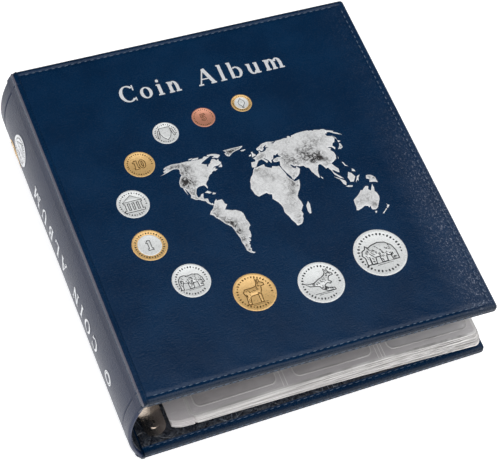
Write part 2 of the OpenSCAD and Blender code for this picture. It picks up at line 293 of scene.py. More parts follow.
nickel = Look("nickel", (0.52, 0.47, 0.42), 0.16, metallic=1.0)
brushed = nickel.noise(900, 3, 0.6, place=nickel.stretched(1.0, 0.06, 1.0))
spots = nickel.noise(160, 4, 0.7)
nickel.to("Base Color", nickel.blend_color(nickel.span(spots, 0.45, 0.75, 0, 0.7), (0.72, 0.66, 0.60),
                                           (0.46, 0.40, 0.34)))
nickel.to("Roughness", nickel.math("ADD", nickel.span(brushed, 0.3, 0.7, 0.10, 0.24),
                                   nickel.span(spots, 0.5, 0.8, 0, 0.12)))
nickel.to("Normal", nickel.bump(brushed, 0.1, 0.0001))

silver = foil("silver_foil", (0.88, 0.90, 0.90), (0.52, 0.53, 0.55), 0.22, 0.38, metallic=0.15)
# The map's near-black tone is the colour of its painted hill shade.
map_silver = foil("map_foil", (0.93, 0.94, 0.95), (0.035, 0.033, 0.035), 0.20, 0.38, relief="relief",
                  metallic=0.08)
letter_silver = foil("letter_foil", (0.88, 0.90, 0.93), (0.5, 0.52, 0.55), 0.25, 0.4, metallic=0.15)
gold = foil("gold_foil", (0.90, 0.58, 0.24), (0.50, 0.28, 0.08), 0.24, 0.40, metallic=0.35)
copper = foil("copper_foil", (0.80, 0.36, 0.24), (0.42, 0.15, 0.08), 0.26, 0.40, metallic=0.4)
grey_ink = foil("grey_ink", (0.055, 0.058, 0.065), (0.03, 0.03, 0.035), 0.35, 0.5)
brown_ink = foil("brown_ink", (0.17, 0.085, 0.022), (0.09, 0.04, 0.01), 0.35, 0.5)

film_face = film("pocket_film", (0.64, 0.60, 0.615), (0.86, 0.83, 0.83), 0.86, 0.16, 0.8)
film_edge = film("film_edge", (0.72, 0.70, 0.69), (0.92, 0.90, 0.89), 0.92, 0.28, 1.0, layered=True)
film_pad = film("pocket_front", (0.52, 0.48, 0.485), (0.93, 0.91, 0.92), 0.76, 0.10, 0.9)


# ---------------------------------------------------------------- mesh helpers
class Shells:
    """Collects closed shells of one piece."""

    def __init__(self):
        self.verts = []
        self.faces = []
        self.looks = []
        self.values = []

    def add(self, verts, faces, look=0, value=0.0):
        start = len(self.verts)
        self.verts += [tuple(v) for v in verts]
        self.faces += [tuple(start + i for i in f) for f in faces]
        self.looks += list(look) if isinstance(look, (list, tuple)) else [look] * len(faces)
        self.values += list(value) if isinstance(value, (list, tuple)) else [value] * len(verts)

    def piece(self, name, looks, body, nodes=(), sharp=38, ride=True, attribute=None):
        mesh = bpy.data.meshes.new(name)
        mesh.from_pydata(self.verts, [], self.faces)
        for look in looks:
            mesh.materials.append(look.mat)
        mesh.polygons.foreach_set("material_index", self.looks)
        if attribute:
            layer = mesh.attributes.new(attribute, "FLOAT", "POINT")
            layer.data.foreach_set("value", self.values)
        bm = bmesh.new()
        bm.from_mesh(mesh)
        bmesh.ops.recalc_face_normals(bm, faces=bm.faces)
        bm.to_mesh(mesh)
        bm.free()
        mesh.polygons.foreach_set("use_smooth", [True] * len(mesh.polygons))
        mesh.set_sharp_from_angle(angle=math.radians(sharp))
        obj = bpy.data.objects.new(name, mesh)
        bpy.context.scene.collection.objects.link(obj)
        if ride:
            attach(obj, body)
        if nodes:
            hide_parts(*nodes)
        return obj


def loop_faces(rings, count, closed=True):
    """Quads between following rings of count points each."""
    faces = []
    last = count if closed else count - 1
    for r in range(rings - 1):
        for i in range(last):
            j = (i + 1) % count
            faces.append((r * count + i, r * count + j, (r + 1) * count + j, (r + 1) * count + i))
    return faces


def mirrored_outline(u0, u1, v0, v1, r_left, r_right, steps, across=6):
    """The tail half of a rounded rectangle from its left end to its right end, at evenly spread u."""
    points = []
    mid = (v0 + v1) / 2
    if r_left > 0:
        for i in range(across + 1):
            a = math.pi / 2 * i / across
            points.append((u0 + r_left - r_left * math.cos(a), v0 + r_left - r_left * math.sin(a)))
    else:
        points.append((u0, v0))
    for i in range(1, steps):
        points.append((u0 + r_left + (u1 - r_right - u0 - r_left) * i / steps, v0))
    if r_right > 0:
        for i in range(across + 1):
            a = math.pi / 2 * i / across
            points.append((u1 - r_right + r_right * math.sin(a), v0 + r_right - r_right * math.cos(a)))
    else:
        points.append((u1, v0))
    return [(u, min(v, mid)) for u, v in points]


def plate(rect, radius, profile, steps):
    """A closed plate in (u, v, h); profile lists its edge as (inset, h), from the top to the underside."""
    u0, u1, v0, v1 = rect
    verts = []
    half = 0
    for inset, h in profile:
        r = max(radius - inset, 0.12)
        points = mirrored_outline(u0 + inset, u1 - inset, v0 + inset, v1 - inset, r, r, steps)
        half = len(points)
        verts += [(u, v, h) for u, v in points]
        verts += [(u, v0 + v1 - v, h) for u, v in reversed(points)]
    count = 2 * half
    faces = loop_faces(len(profile), count)
    edge = len(faces)
    last = (len(profile) - 1) * count
    for i in range(half - 1):
        j = count - 1 - i
        faces.append((i, i + 1, j - 1, j))
        faces.append((last + i, last + j, last + j - 1, last + i + 1))
    return verts, faces, edge


# ---------------------------------------------------------------- padded covers
pitch = 4.0
stitch_inset = 4.0
join_u = 2.2
# Insets and heights of a cover's edge, from the outside face round to the turned-in rim
edge_profile = [
    (30, 2.6), (16, 2.6), (9, 2.6), (6.6, 2.64), (5.6, 2.62), (5.1, 2.5), (4.7, 2.28), (4.35, 2.1),
    (4.0, 2.04),
    (3.7, 2.12), (3.4, 2.34), (3.0, 2.56), (2.5, 2.68), (1.95, 2.66), (1.4, 2.5), (0.9, 2.2), (0.45, 1.7),
    (0.15, 1.1), (0.02, 0.5), (0.06, 0.0), (0.34, -0.3), (0.46, -0.5), (0.34, -0.7), (0.1, -0.98),
    (0.1, -1.4), (0.22, -1.85), (0.55, -2.28), (1.05, -2.5), (1.8, -2.6), (3.1, -2.6), (3.6, -2.48),
    (4.0, -2.36),
    (4.4, -2.48), (4.9, -2.6), (8, -2.6), (9.9, -2.6), (10.1, -2.45), (10.15, -1.75), (13, -1.75)
]


def edge_path(end, inset, r_corner):
    """A cover's outline, from the spine at the head round the fore-edge to the spine at the tail."""
    r = max(r_corner - inset, 0.15)
    long_u = end - inset - r
    low, high = inset, cover_h - inset
    n_u = int(round((end - join_u) / (pitch / 4)))
    n_v = int(round(cover_h / (pitch / 4)))
    first = [join_u, join_u + 0.3, join_u + 0.8]
    us = first + [join_u + 0.8 + (long_u - join_u - 0.8) * i / n_u for i in range(1, n_u + 1)]
    path = [(u, high) for u in us]
    for i in range(1, 7):
        a = math.pi / 2 * i / 7
        path.append((long_u + r * math.sin(a), high - r + r * math.cos(a)))
    path += [(end - inset, high - r + (low + 2 * r - high) * i / n_v) for i in range(n_v + 1)]
    for i in range(1, 7):
        a = math.pi / 2 * i / 7
        path.append((long_u + r * math.cos(a), low + r - r * math.sin(a)))
    path += [(u, low) for u in reversed(us)]
    return path


def padded_cover(name, to_world, end, body, nodes):
    verts = []
    count = 0
    for inset, w in edge_profile:
        path = edge_path(end, inset, 2.4)
        count = len(path)
        for i, (u, v) in enumerate(path):
            along = v if i > count / 3 and i < 2 * count / 3 else u
            pull = 0.5 - 0.5 * math.cos(2 * math.pi * along / pitch)
            h = w
            if 2.4 < inset < 5.6 and w > 0:
                h = w + (half_t - w) * 0.55 * pull
            if w > 2 and inset <= 16:
                h += 0.05 * math.sin(along * 0.23 + inset) + 0.04 * math.sin(along * 0.61)
            if w > 0:
                h -= 0.55 if i in (0, count - 1) else 0.16 if i in (1, count - 2) else 0
            verts.append(to_world(u, v, h))
    rings = len(edge_profile)
    faces = loop_faces(rings, count, closed=False)
    last = (rings - 1) * count
    for k in (0, 1):
        faces.append((k, k + 1, count - 2 - k, count - 1 - k))
        faces.append((last + k, last + count - 1 - k, last + count - 2 - k, last + k + 1))
    faces.append(tuple(range(2, count - 2)))
    faces.append(tuple(reversed(range(last + 2, last + count - 2))))
    spine_side = [r * count for r in range(rings)] + [r * count + count - 1 for r in reversed(range(rings))]
    faces.append(tuple(spine_side))
    lined = next(k for k, (inset, w) in enumerate(edge_profile) if w < 0 and inset > 4.8)
    looks = []
    for f in faces:
        in_liner = max(f) - min(f) < 2 * count and min(f) // count >= lined
        looks.append(1 if in_liner or min(f) >= last else 0)
    shells = Shells()
    shells.add(verts, faces, looks)
    obj = shells.piece(name, [navy, liner], body, nodes, sharp=50)
    return obj


def stitches(name, to_world, end, body, nodes):
    """Separate thread stitches on the outside, along the side seam and on the turned-in rim."""
    shells = Shells()
    rows = ((stitch_inset, 2.24, 1.35, 0.25, 0.22), (0.24, -0.5, 1.25, 0.26, 0.18),
            (4.0, -2.45, 1.3, 0.2, 0.18))
    for inset, w, half_l, half_w, half_h in rows:
        spots = []
        n_u = int((end - join_u - 8) / pitch)
        for k in range(n_u):
            u = join_u + 3 + (k + 0.5) * pitch
            spots.append(((u, cover_h - inset), (1, 0)))
            spots.append(((u, inset), (1, 0)))
        n_v = int((cover_h - 12) / pitch)
        for k in range(n_v):
            spots.append(((end - inset, 7 + (k + 0.5) * pitch), (0, 1)))
        for (u, v), (du, dv) in spots:
            turn = rng.uniform(-0.05, 0.05) + 0.09
            du, dv = du * math.cos(turn) - dv * math.sin(turn), du * math.sin(turn) + dv * math.cos(turn)
            u += rng.uniform(-0.12, 0.12) * du
            v += rng.uniform(-0.12, 0.12) * dv
            verts = []
            for s, share in ((-0.96, 0.42), (-0.6, 0.88), (0, 1), (0.6, 0.88), (0.96, 0.42)):
                for q in range(6):
                    a = 2 * math.pi * q / 6
                    side = half_w * share * math.cos(a)
                    lift = half_h * share * math.sin(a) - 0.12 * abs(s)
                    verts.append(to_world(u + s * half_l * du - side * dv, v + s * half_l * dv + side * du,
                                          w + (lift if w > -2 else -lift)))
            faces = loop_faces(5, 6) + [tuple(range(6)), tuple(range(24, 30))]
            shells.add(verts, faces)
    return shells.piece(name, [thread], body, nodes, sharp=80)


padded_cover("front_cover_pad", front, front_end, "front_cover",
             ("front_skin", "front_foam", "front_board"))
padded_cover("back_cover_pad", back, cover_end, "back_cover", ("back_skin", "back_foam", "back_board"))
stitches("front_stitches", front, front_end, "front_cover", ("front_stitching",))
stitches("back_stitches", back, cover_end, "back_cover", ("back_stitching",))

# ---------------------------------------------------------------- spine
# The spine's arc: its centre, its outer and inner radius, and half of its opening
arc_x, arc_z = 58.61, 33.1
arc_r = 66.61
arc_in = 63.85
arc_half = math.radians(26.6)
# The line pressed across the spine, from the head and from the tail
press_at = 9.0


def end_stations(length):
    """Places along the spine, close together at the ends and at the two pressed lines."""
    near = [0, 0.12, 0.35, 0.7, 1.2, 2.0, 3.5, 6.0, 7.6, 8.1, 8.45, 8.7, 9.0, 9.3, 9.55, 9.9, 10.4, 12, 16]
    middle = [16 + (length - 32) * i / 22 for i in range(1, 22)]
    return near + middle + [length - y for y in reversed(near)]


def rolled(y):
    """How far the spine rolls over at y, near its head and its tail."""
    return 0.95 * max(0.0, 1 - min(y, cover_h - y) / 1.3) ** 2


def pressed(y):
    """How far the skin dips at y: rolled over at both ends, and pressed in a line near them."""
    d = min(y, cover_h - y)
    line = 0.5 * math.exp(-((d - press_at) / 0.42) ** 2)
    rim = 0.10 * math.exp(-((d - press_at + 1.4) / 0.8) ** 2)
    return rolled(y) + line - rim


stations = end_stations(cover_h)
spine = Shells()
ring = []
across = 44
for y in stations:
    dip = pressed(y)
    roll = rolled(y)
    points = []
    for i in range(across + 1):
        a = -arc_half + 2 * arc_half * i / across
        r = arc_r - dip + 0.07 * math.sin(y * 0.05 + a * 6) + 0.03 * math.sin(y * 0.17 + a * 11)
        points.append(case(arc_x - r * math.cos(a), y, arc_z + r * math.sin(a)))
    for i in range(across + 1):
        a = arc_half - 2 * arc_half * i / across
        r = arc_in + 0.45 + roll
        points.append(case(arc_x - r * math.cos(a), y, arc_z + r * math.sin(a)))
    ring.append(points)
count = len(ring[0])
faces = loop_faces(len(ring), count)
faces += [tuple(range(count)), tuple(range((len(ring) - 1) * count, len(ring) * count))]
spine.add([p for r in ring for p in r], faces)
spine.piece("spine_shell", [spine_skin], "spine", ("spine_skin", "spine_board"),
            sharp=55)

lining = Shells()
rows = [3.0 + (cover_h - 6.0) * i / 40 for i in range(41)]
verts = []
for y in rows:
    for r in (arc_in + 0.5, arc_in + 0.02):
        line = [-arc_half * 0.985 + 2 * arc_half * 0.985 * i / 30 for i in range(31)]
        for a in (line if r > arc_in + 0.3 else reversed(line)):
            ripple = 0.10 * math.sin(y * 0.33 + a * 9) * math.sin(y * 0.11) if r < arc_in + 0.3 else 0
            verts.append(case(arc_x - (r + ripple) * math.cos(a), y, arc_z + (r + ripple) * math.sin(a)))
faces = loop_faces(len(rows), 62) + [tuple(range(62)), tuple(range(40 * 62, 41 * 62))]
lining.add(verts, faces)
lining.piece("spine_lining", [liner], "spine", ("spine_liner",), sharp=55)

# Skins at the two hinges, which bend on the real album as its covers turn; here they are fixed closed
# sections of x and z:
# a pressed ridge between two grooves at the front cover, and a plain roll at the back cover.
ridge_section = [
    (-3.2, 58.6), (-2.35, 60.3), (-1.65, 61.9), (-1.2, 62.9), (-0.95, 63.5), (-0.85, 63.9), (-0.95, 64.3),
    (-0.85, 64.75), (-0.5, 65.15), (-0.05, 65.3), (0.35, 65.1), (0.65, 64.75), (1.05, 64.6), (1.5, 64.75),
    (2.1, 65.1), (2.6, 65.3), (3.1, 65.3), (3.1, 64.2), (2.9, 63.2), (1.9, 62.4), (0.9, 62.1), (-0.1, 62.2),
    (-0.7, 62), (-1.2, 60.6), (-1.9, 58.9), (-2.6, 58.2)
]
plain_section = [
    (-3.3, 7.9), (-2.6, 6.3), (-1.95, 4.9), (-1.45, 3.8), (-0.95, 2.8), (-0.45, 1.9), (0.1, 1.1),
    (0.75, 0.55),
    (1.5, 0.25), (2.3, 0.15), (2.9, 0.5), (2.95, 1.8), (2.6, 3.2), (1.6, 4.1), (0.6, 4.3), (-0.3, 4.3),
    (-0.9, 4.9), (-1.4, 6.1), (-2.0, 7.4), (-2.7, 8.2)
]


def hinge_skin(name, upper, node):
    section = ridge_section if upper else plain_section
    mid_x = sum(x for x, z in section) / len(section)
    mid_z = sum(z for x, z in section) / len(section)
    verts = []
    for y in stations:
        dip = pressed(y)
        for k, (x, z) in enumerate(section):
            pull = dip * (0.9 if not upper or 4 <= k <= 14 else 0.5)
            away = Vector((x - mid_x, z - mid_z)).normalized()
            px = x - away.x * pull
            pz = z - away.y * pull + 0.04 * math.sin(y * 0.12 + k)
            verts.append(case(px, y, max(pz, 0.05)))
    count = len(section)
    faces = loop_faces(len(stations), count)
    looks = []
    for f in faces:
        k = f[0] % count
        if upper:
            # Faces 7 to 9, on the ridge's crest, take the light grey leatherette: a painted highlight.
            looks.append(1 if 7 <= k <= 9 else 2 if k <= 2 or k == count - 1 else 0)
        else:
            looks.append(2 if k <= 5 else 0)
    faces += [tuple(range(count)), tuple(range((len(stations) - 1) * count, len(stations) * count))]
    looks += [0, 0]
    shells = Shells()
    shells.add(verts, faces, looks)
    obj = shells.piece(name, [navy, painted_highlight_ridge_skin, spine_skin], None, (node,), sharp=60,
                       ride=False)
    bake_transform(obj)
    return obj


hinge_skin("front_hinge_skin", True, "front_hinge_bead")
hinge_skin("back_hinge_skin", False, "back_hinge_bead")


# ---------------------------------------------------------------- foil
def inside_distance(point, outline):
    """Distance from a point to the nearest edge of an outline."""
    p = np.array(point)
    a = outline
    b = np.roll(outline, -1, axis=0)
    d = b - a
    t = np.clip(((p - a) * d).sum(1) / np.maximum((d * d).sum(1), 1e-9), 0, 1)
    return float(np.sqrt((((a + t[:, None] * d) - p) ** 2).sum(1)).min())


def is_inside(point, outline):
    x, y = point
    inside = False
    n = len(outline)
    j = n - 1
    for i in range(n):
        xi, yi = outline[i]
        xj, yj = outline[j]
        if (yi > y) != (yj > y) and x < (xj - xi) * (y - yi) / (yj - yi) + xi:
            inside = not inside
        j = i
    return inside


def relief(shells, outline, to_world, floor, rim, top, soft, step, look=0, height=None):
    """Adds a closed raised shape, rim high at its outline and swelling to top over the soft distance."""
    points = [Vector(p) for p in outline]
    border = np.array([tuple(p) for p in points], float)
    low, high = border.min(0), border.max(0)
    extra = []
    nu = int((high[0] - low[0]) / step)
    nv = int((high[1] - low[1]) / step)
    for i in range(1, nu + 1):
        for j in range(1, nv + 1):
            p = (low[0] + (i + 0.5 * (j % 2) - 0.25) * step, low[1] + (j - 0.25) * step)
            if is_inside(p, border) and inside_distance(p, border) > step * 0.35:
                extra.append(Vector(p))
    n = len(points)
    result = delaunay_2d_cdt(points + extra, [(i, (i + 1) % n) for i in range(n)], [list(range(n))], 1,
                             1e-5)
    flat, triangles, origin = result[0], result[2], result[3]
    on_border = [any(o < n for o in origin[i]) for i in range(len(flat))]
    tops = []
    values = []
    for i, p in enumerate(flat):
        d = 0.0 if on_border[i] else inside_distance(p, border)
        h = rim + (top - rim) * (1 - math.exp(-d / soft))
        value = 0.0
        if height is not None:
            bump_h, value = height(p, d)
            h += bump_h
        tops.append(h)
        values.append(value)
    m = len(flat)
    verts = [to_world(p.x, p.y, tops[i]) for i, p in enumerate(flat)]
    verts += [to_world(p.x, p.y, floor) for p in flat]
    faces = [tuple(t) for t in triangles]
    faces += [tuple(m + i for i in reversed(t)) for t in triangles]
    edges = {}
    for t in triangles:
        for k in range(len(t)):
            a, b = t[k], t[(k + 1) % len(t)]
            edges[(a, b)] = edges.get((a, b), 0) + 1
    for a, b in list(edges):
        if (b, a) not in edges:
            faces.append((b, a, m + a, m + b))
    shells.add(verts, faces, look, values + values)


def clamp(t):
    return min(max(t, 0.0), 1.0)


def on_map(lon, lat):
    """A place on the cover; the meridians close up polewards and the ends of the land are bent."""
    if lon > 110 and lat > 52:
        lon -= 0.6 * (lon - 110) * clamp((lat - 52) / 14)
    elif lon < -30 and lat < 20:
        west, north = clamp((-35 - lon) / 46), clamp((lat + 54) / 50)
        lon += (13 * west * north + north - 4) * clamp((20 - lat) / 12)
    elif lon < -50 and lat > 25:
        lon -= 5 * clamp((lat - 25) / 10) * clamp((62 - lat) / 14)
    elif lon > 165:
        lon -= 9
    narrow = 1 - 0.4 * (abs(lat) / 90) ** 0.6
    return (109.0 + 0.49 * (43 + (lon - 43) * narrow), 104.4 + 0.655 * lat * (1 - 0.31 * (lat / 90) ** 2))


north_america = [
    (-168, 65.6), (-166, 68.3), (-156.5, 71.3), (-141, 69.7), (-128, 70), (-115, 68.3), (-108, 68),
    (-96, 68),
    (-94, 72), (-86, 69.5), (-82, 69.6), (-86, 66.5), (-94, 61), (-94.5, 58.8), (-88, 56.8), (-82.3, 55.2),
    (-82, 52.9), (-79, 51.5), (-79.5, 54.8), (-77, 56.5), (-78, 58.8), (-77.5, 62.4), (-73, 62.1),
    (-69.5, 60),
    (-67, 58.4), (-64.5, 60.2), (-61.5, 56.5), (-57, 54), (-56, 52.3), (-60, 50.2), (-66.5, 50.2),
    (-70, 47),
    (-65, 49.1), (-64.5, 46.6), (-61, 45.5), (-65, 43.6), (-67, 44.8), (-70.5, 43), (-70, 41.7),
    (-74, 40.5),
    (-75.8, 37.5), (-76, 35), (-79, 33.3), (-81.3, 31), (-80.2, 26.5), (-81, 25.2), (-82.8, 28),
    (-84.5, 30),
    (-89.5, 30.1), (-94, 29.5), (-97.2, 27.7), (-97.8, 22.5), (-95.5, 18.6), (-92, 18.6), (-90.4, 20.9),
    (-87, 21.5), (-88, 18), (-88.8, 15.9), (-83.4, 15), (-83.7, 11), (-81.5, 9), (-79.5, 9.5), (-78, 7.4),
    (-80.4, 7.4), (-83, 8.3), (-85.7, 10), (-87.6, 13), (-92, 14.5), (-95, 16.1), (-99.5, 16.7), (-105, 20),
    (-105.5, 22.5), (-109, 25.8), (-112.5, 29.5), (-114.8, 31.7), (-112.8, 27.5), (-109.6, 23.1),
    (-112, 25),
    (-115, 28.5), (-117.1, 32.5), (-120.6, 34.6), (-122.5, 37.5), (-124.3, 40.4), (-124, 46.2), (-123, 49),
    (-127.5, 51), (-130.3, 54.7), (-134, 58), (-139, 59.8), (-146, 60.8), (-151, 59.3), (-154, 57.5),
    (-158.5, 56), (-164.5, 54.6), (-160, 56.6), (-157.5, 58.7), (-162, 58.8), (-165, 61), (-161.5, 64),
    (-166, 64.4)
]
greenland = [
    (-44, 60), (-48, 61), (-51.5, 64), (-54, 67.5), (-51, 70), (-55, 73), (-58, 75.8), (-40, 76.2),
    (-20, 76),
    (-20, 73.5), (-22, 71.5), (-26, 69), (-33, 67.6), (-38, 65.5), (-41, 63)
]
south_america = [
    (-77.4, 8.4), (-75, 10.8), (-71.6, 12.4), (-71.5, 10.8), (-68, 11), (-62, 10.7), (-60, 8.5), (-57, 6),
    (-51.8, 4.5), (-50, 0), (-44.5, -2.5), (-40, -2.9), (-37, -4.8), (-35, -6), (-34.9, -8.5),
    (-37.2, -11.8),
    (-39, -14), (-39.2, -18), (-41, -22), (-44.5, -23), (-48.2, -25.8), (-48.7, -28.3), (-52, -32.8),
    (-54.5, -34.8), (-58.3, -34), (-57, -36.5), (-58.5, -38.5), (-62.3, -39), (-62.4, -41), (-65, -41),
    (-63.7, -42.6), (-65.5, -45), (-67.5, -46.3), (-65.8, -48), (-69, -50.8), (-68.4, -52.5),
    (-65.2, -54.7),
    (-69, -55.4), (-73, -53), (-75.5, -49.5), (-74.5, -45), (-73.8, -41.8), (-73.6, -37.3), (-71.5, -33),
    (-71.5, -28), (-70.3, -21), (-70.4, -18.4), (-76, -14), (-78.8, -8.5), (-81.2, -5.8), (-80, -3),
    (-81, -1),
    (-79, 1.8), (-77.2, 4), (-77.9, 7)
]
africa = [
    (-6, 35.8), (-1, 35.7), (5, 36.8), (10.5, 37.3), (11, 34.2), (15.2, 32.4), (20, 30.6), (22, 32.8),
    (29, 31),
    (32.2, 31.2), (34, 27.5), (37.2, 21), (37.3, 18.8), (39.5, 15.5), (43.2, 12), (44.5, 10.5),
    (51.2, 11.9),
    (49, 6.5), (46, 2.3), (41.5, -1.7), (39.3, -4.6), (39, -7), (40.6, -10.8), (40.7, -15), (36.5, -18.5),
    (34.8, -20), (35.5, -24), (32.8, -26), (32.4, -28.6), (28.5, -32.6), (25.6, -34), (20, -34.8),
    (18.3, -34),
    (18.2, -31.8), (15.2, -26.8), (14.4, -22.5), (11.8, -17.5), (13.8, -12), (13.2, -8.8), (12.2, -5.8),
    (8.9, -1), (9.8, 3.5), (6, 4.3), (3, 6.4), (-4, 5.2), (-7.7, 4.4), (-12.5, 7.5), (-15, 11),
    (-17.4, 14.7),
    (-16.5, 19.5), (-17, 21.4), (-14.5, 26), (-11.5, 28.2), (-9.8, 30.5), (-8.5, 33.3)
]
eurasia = [
    (-9, 37), (-9.4, 38.8), (-8.8, 43.2), (-1.8, 43.4), (-1.2, 46), (-4.6, 48.3), (-1.6, 48.7), (1.6, 50.3),
    (4, 52), (8.3, 53.7), (8.2, 57), (10.6, 57.6), (10.9, 54.3), (14.2, 54), (18.6, 54.7), (21, 56),
    (22, 57.6),
    (24, 59.2), (29.5, 59.7), (25, 60.4), (21.4, 61), (25.2, 65), (21.5, 64), (17.2, 61), (18.5, 59.6),
    (16.4, 56.6), (12.9, 55.5), (11, 59), (7.5, 58.1), (5.2, 60), (5.5, 62.3), (12, 65.5), (15.5, 68.5),
    (20, 70), (28, 71), (31, 70.2), (41, 67.2), (33, 66.6), (38, 64), (44, 68.4), (54, 68.6), (60.5, 69.7),
    (67, 68.5), (67, 71.5), (70.5, 73), (72.5, 71), (74, 68), (76, 72), (82, 73.3), (88, 75.2), (100, 76),
    (112, 75.6), (113.5, 73.6), (127, 73.2), (130.5, 71), (140, 72.8), (152, 71), (161, 69.6), (171, 69.9),
    (180, 69), (180, 65.2), (177, 62.5), (170.5, 60), (163.5, 59.5), (162.3, 56.3), (156.8, 51.2),
    (155.7, 56.5), (162, 61), (156, 61.5), (150, 59.5), (142.5, 59.2), (135.3, 54.8), (141, 52.8),
    (140.3, 48.6), (135, 43.8), (131, 42.8), (127.6, 39.6), (129.3, 36.5), (126.5, 34.4), (125.2, 38),
    (121.5, 39.2), (118, 38.9), (122.4, 37), (119.3, 35), (121.8, 31.5), (121, 28), (117.5, 24),
    (110.5, 21.3),
    (106, 20), (107, 17), (109.3, 12.5), (106.7, 9), (104.8, 9.5), (102.5, 12.2), (100.2, 13.3), (99.8, 10),
    (103.4, 4), (104, 1.4), (101.3, 2.9), (98.3, 8), (98.7, 12), (97.5, 16.5), (94.3, 16), (92, 21.3),
    (90, 22.3), (87, 21.5), (82.3, 16.6), (80.2, 13.3), (79.3, 10.3), (77.6, 8.1), (75, 12.5), (73, 17),
    (72.6, 21), (69, 22.3), (67, 24.7), (61.5, 25.1), (57, 26.8), (54, 26.6), (50.8, 29.3), (48.2, 30),
    (50.2, 26.5), (51.5, 25), (54.5, 24.2), (56.4, 26.2), (59.8, 22.5), (55.5, 17.6), (52, 15.6),
    (45, 12.8),
    (43, 13.4), (42.6, 16.6), (39, 21.5), (35, 28), (34.9, 29.4), (34.3, 31.3), (35.8, 35.5), (36, 36.8),
    (30.6, 36.4), (27.3, 37), (26.3, 39.5), (29.5, 41), (35, 42), (41.5, 41.4), (37.3, 45), (39, 47.2),
    (35, 46), (33.4, 45), (31, 46.6), (28.6, 43.6), (28, 41.5), (23.8, 40.2), (23.8, 38), (22.5, 36.6),
    (19.4, 41), (13.8, 45), (12.4, 44.4), (15.9, 41.9), (18.4, 40), (16, 38), (12.4, 41.7), (8.8, 44.4),
    (3.2, 43.2), (-0.3, 39.3), (-2, 36.8), (-5.5, 36.1)
]
australia = [
    (113.5, -22.5), (114.2, -26.5), (115.7, -32), (115, -34.3), (118, -35), (123.5, -33.9), (129, -31.7),
    (134.2, -32.8), (136, -34.9), (138.2, -33.5), (139, -35.8), (140.6, -38), (144, -38.6), (146.3, -39),
    (150, -37.3), (151.5, -33), (153.3, -28.5), (152.9, -25.3), (149, -20.5), (146.2, -18.8), (145.3, -15),
    (143.5, -12.8), (142.4, -10.8), (141.5, -14), (140.8, -17.4), (136.6, -15.4), (136.8, -12.2),
    (132.5, -11.4),
    (130, -13.2), (128.2, -14.9), (125.5, -14.3), (122.3, -17.8), (118.5, -20.2)
]
islands = [
    [(-62, 66.5), (-66, 62), (-72, 64), (-78, 65), (-73, 67.5), (-80, 70), (-88, 71), (-89, 73.6),
     (-80, 73.7),
     (-72, 71.5), (-67, 69.3)],
    [(-117, 69.2), (-105, 69), (-105, 72.5), (-115, 73), (-118, 71)],
    [(-125, 72), (-120, 71.5), (-117, 75), (-124, 74.3)],
    [(-59.3, 47.7), (-53, 46.8), (-53.5, 49), (-56, 51.5)],
    [(-84.8, 21.9), (-81, 23.3), (-74.3, 20.4), (-77.5, 19.7)],
    [(-74.3, 18), (-72.8, 20), (-68.4, 18.8), (-70, 17.8)],
    [(49.3, -12), (50.4, -15.5), (47.1, -25), (44.5, -25.3), (43.4, -22), (44.4, -16.3)],
    [(-5.5, 50.1), (1.3, 51.2), (1.6, 52.7), (-1.5, 55), (-3, 58.6), (-5.5, 58), (-4.5, 54.5)],
    [(-10, 52), (-6.3, 52.3), (-6, 55), (-9.8, 54)],
    [(-24, 65.5), (-22.5, 64), (-18.5, 63.5), (-14, 65), (-16, 66.5), (-21, 66)],
    [(131, 34), (135.5, 33.6), (140, 35), (141.8, 39.5), (140.5, 41.3), (136.8, 37.2)],
    [(140.2, 42), (145.3, 43.4), (141.8, 45.4)],
    [(142, 46), (143.2, 49.3), (142.7, 54.2), (141.7, 50)],
    [(120.2, 22.8), (121.6, 24), (121.4, 25.2)],
    [(120.3, 14), (124, 12.8), (122, 14.8), (122.2, 18.4), (120.6, 18.5)],
    [(122, 7), (125.5, 5.8), (126.4, 8), (125.3, 9.8)],
    [(109, 1.5), (109.9, -1.5), (111.5, -3.4), (116, -4), (117.8, 0.8), (119, 5), (116.7, 7)],
    [(95.3, 5.6), (98.8, 1.5), (102.3, -4), (105.7, -5.9), (106, -3), (103.8, -1), (98.7, 3.7)],
    [(105.2, -6.9), (108, -7.9), (114.3, -8.8), (114.4, -7.5), (108.5, -6.4)],
    [(119, -5.5), (120.8, -3), (122.8, -4.8), (121.2, -1), (125, 1.5), (120, 0.8)],
    [(131, -0.8), (133, -4), (138, -5.5), (138.3, -8.3), (143.3, -8.8), (147, -9.5), (150.7, -10.5),
     (147.5, -7),
     (145.8, -5), (141, -2.6), (137.8, -1.5), (134, -0.8)],
    [(79.8, 8), (80.5, 6), (81.8, 7.3), (80.3, 9.7)],
    [(144.8, -40.8), (145.8, -43.3), (147.5, -43.4), (148.3, -40.9)],
    [(172.8, -34.5), (174.8, -37.5), (173.9, -39.2), (175, -41.5), (176.9, -40), (178.4, -37.8),
     (175, -36.8)],
    [(172.8, -40.6), (170.5, -43), (166.5, -45.9), (168.8, -46.6), (171, -44.5), (174.2, -41.8)]
]
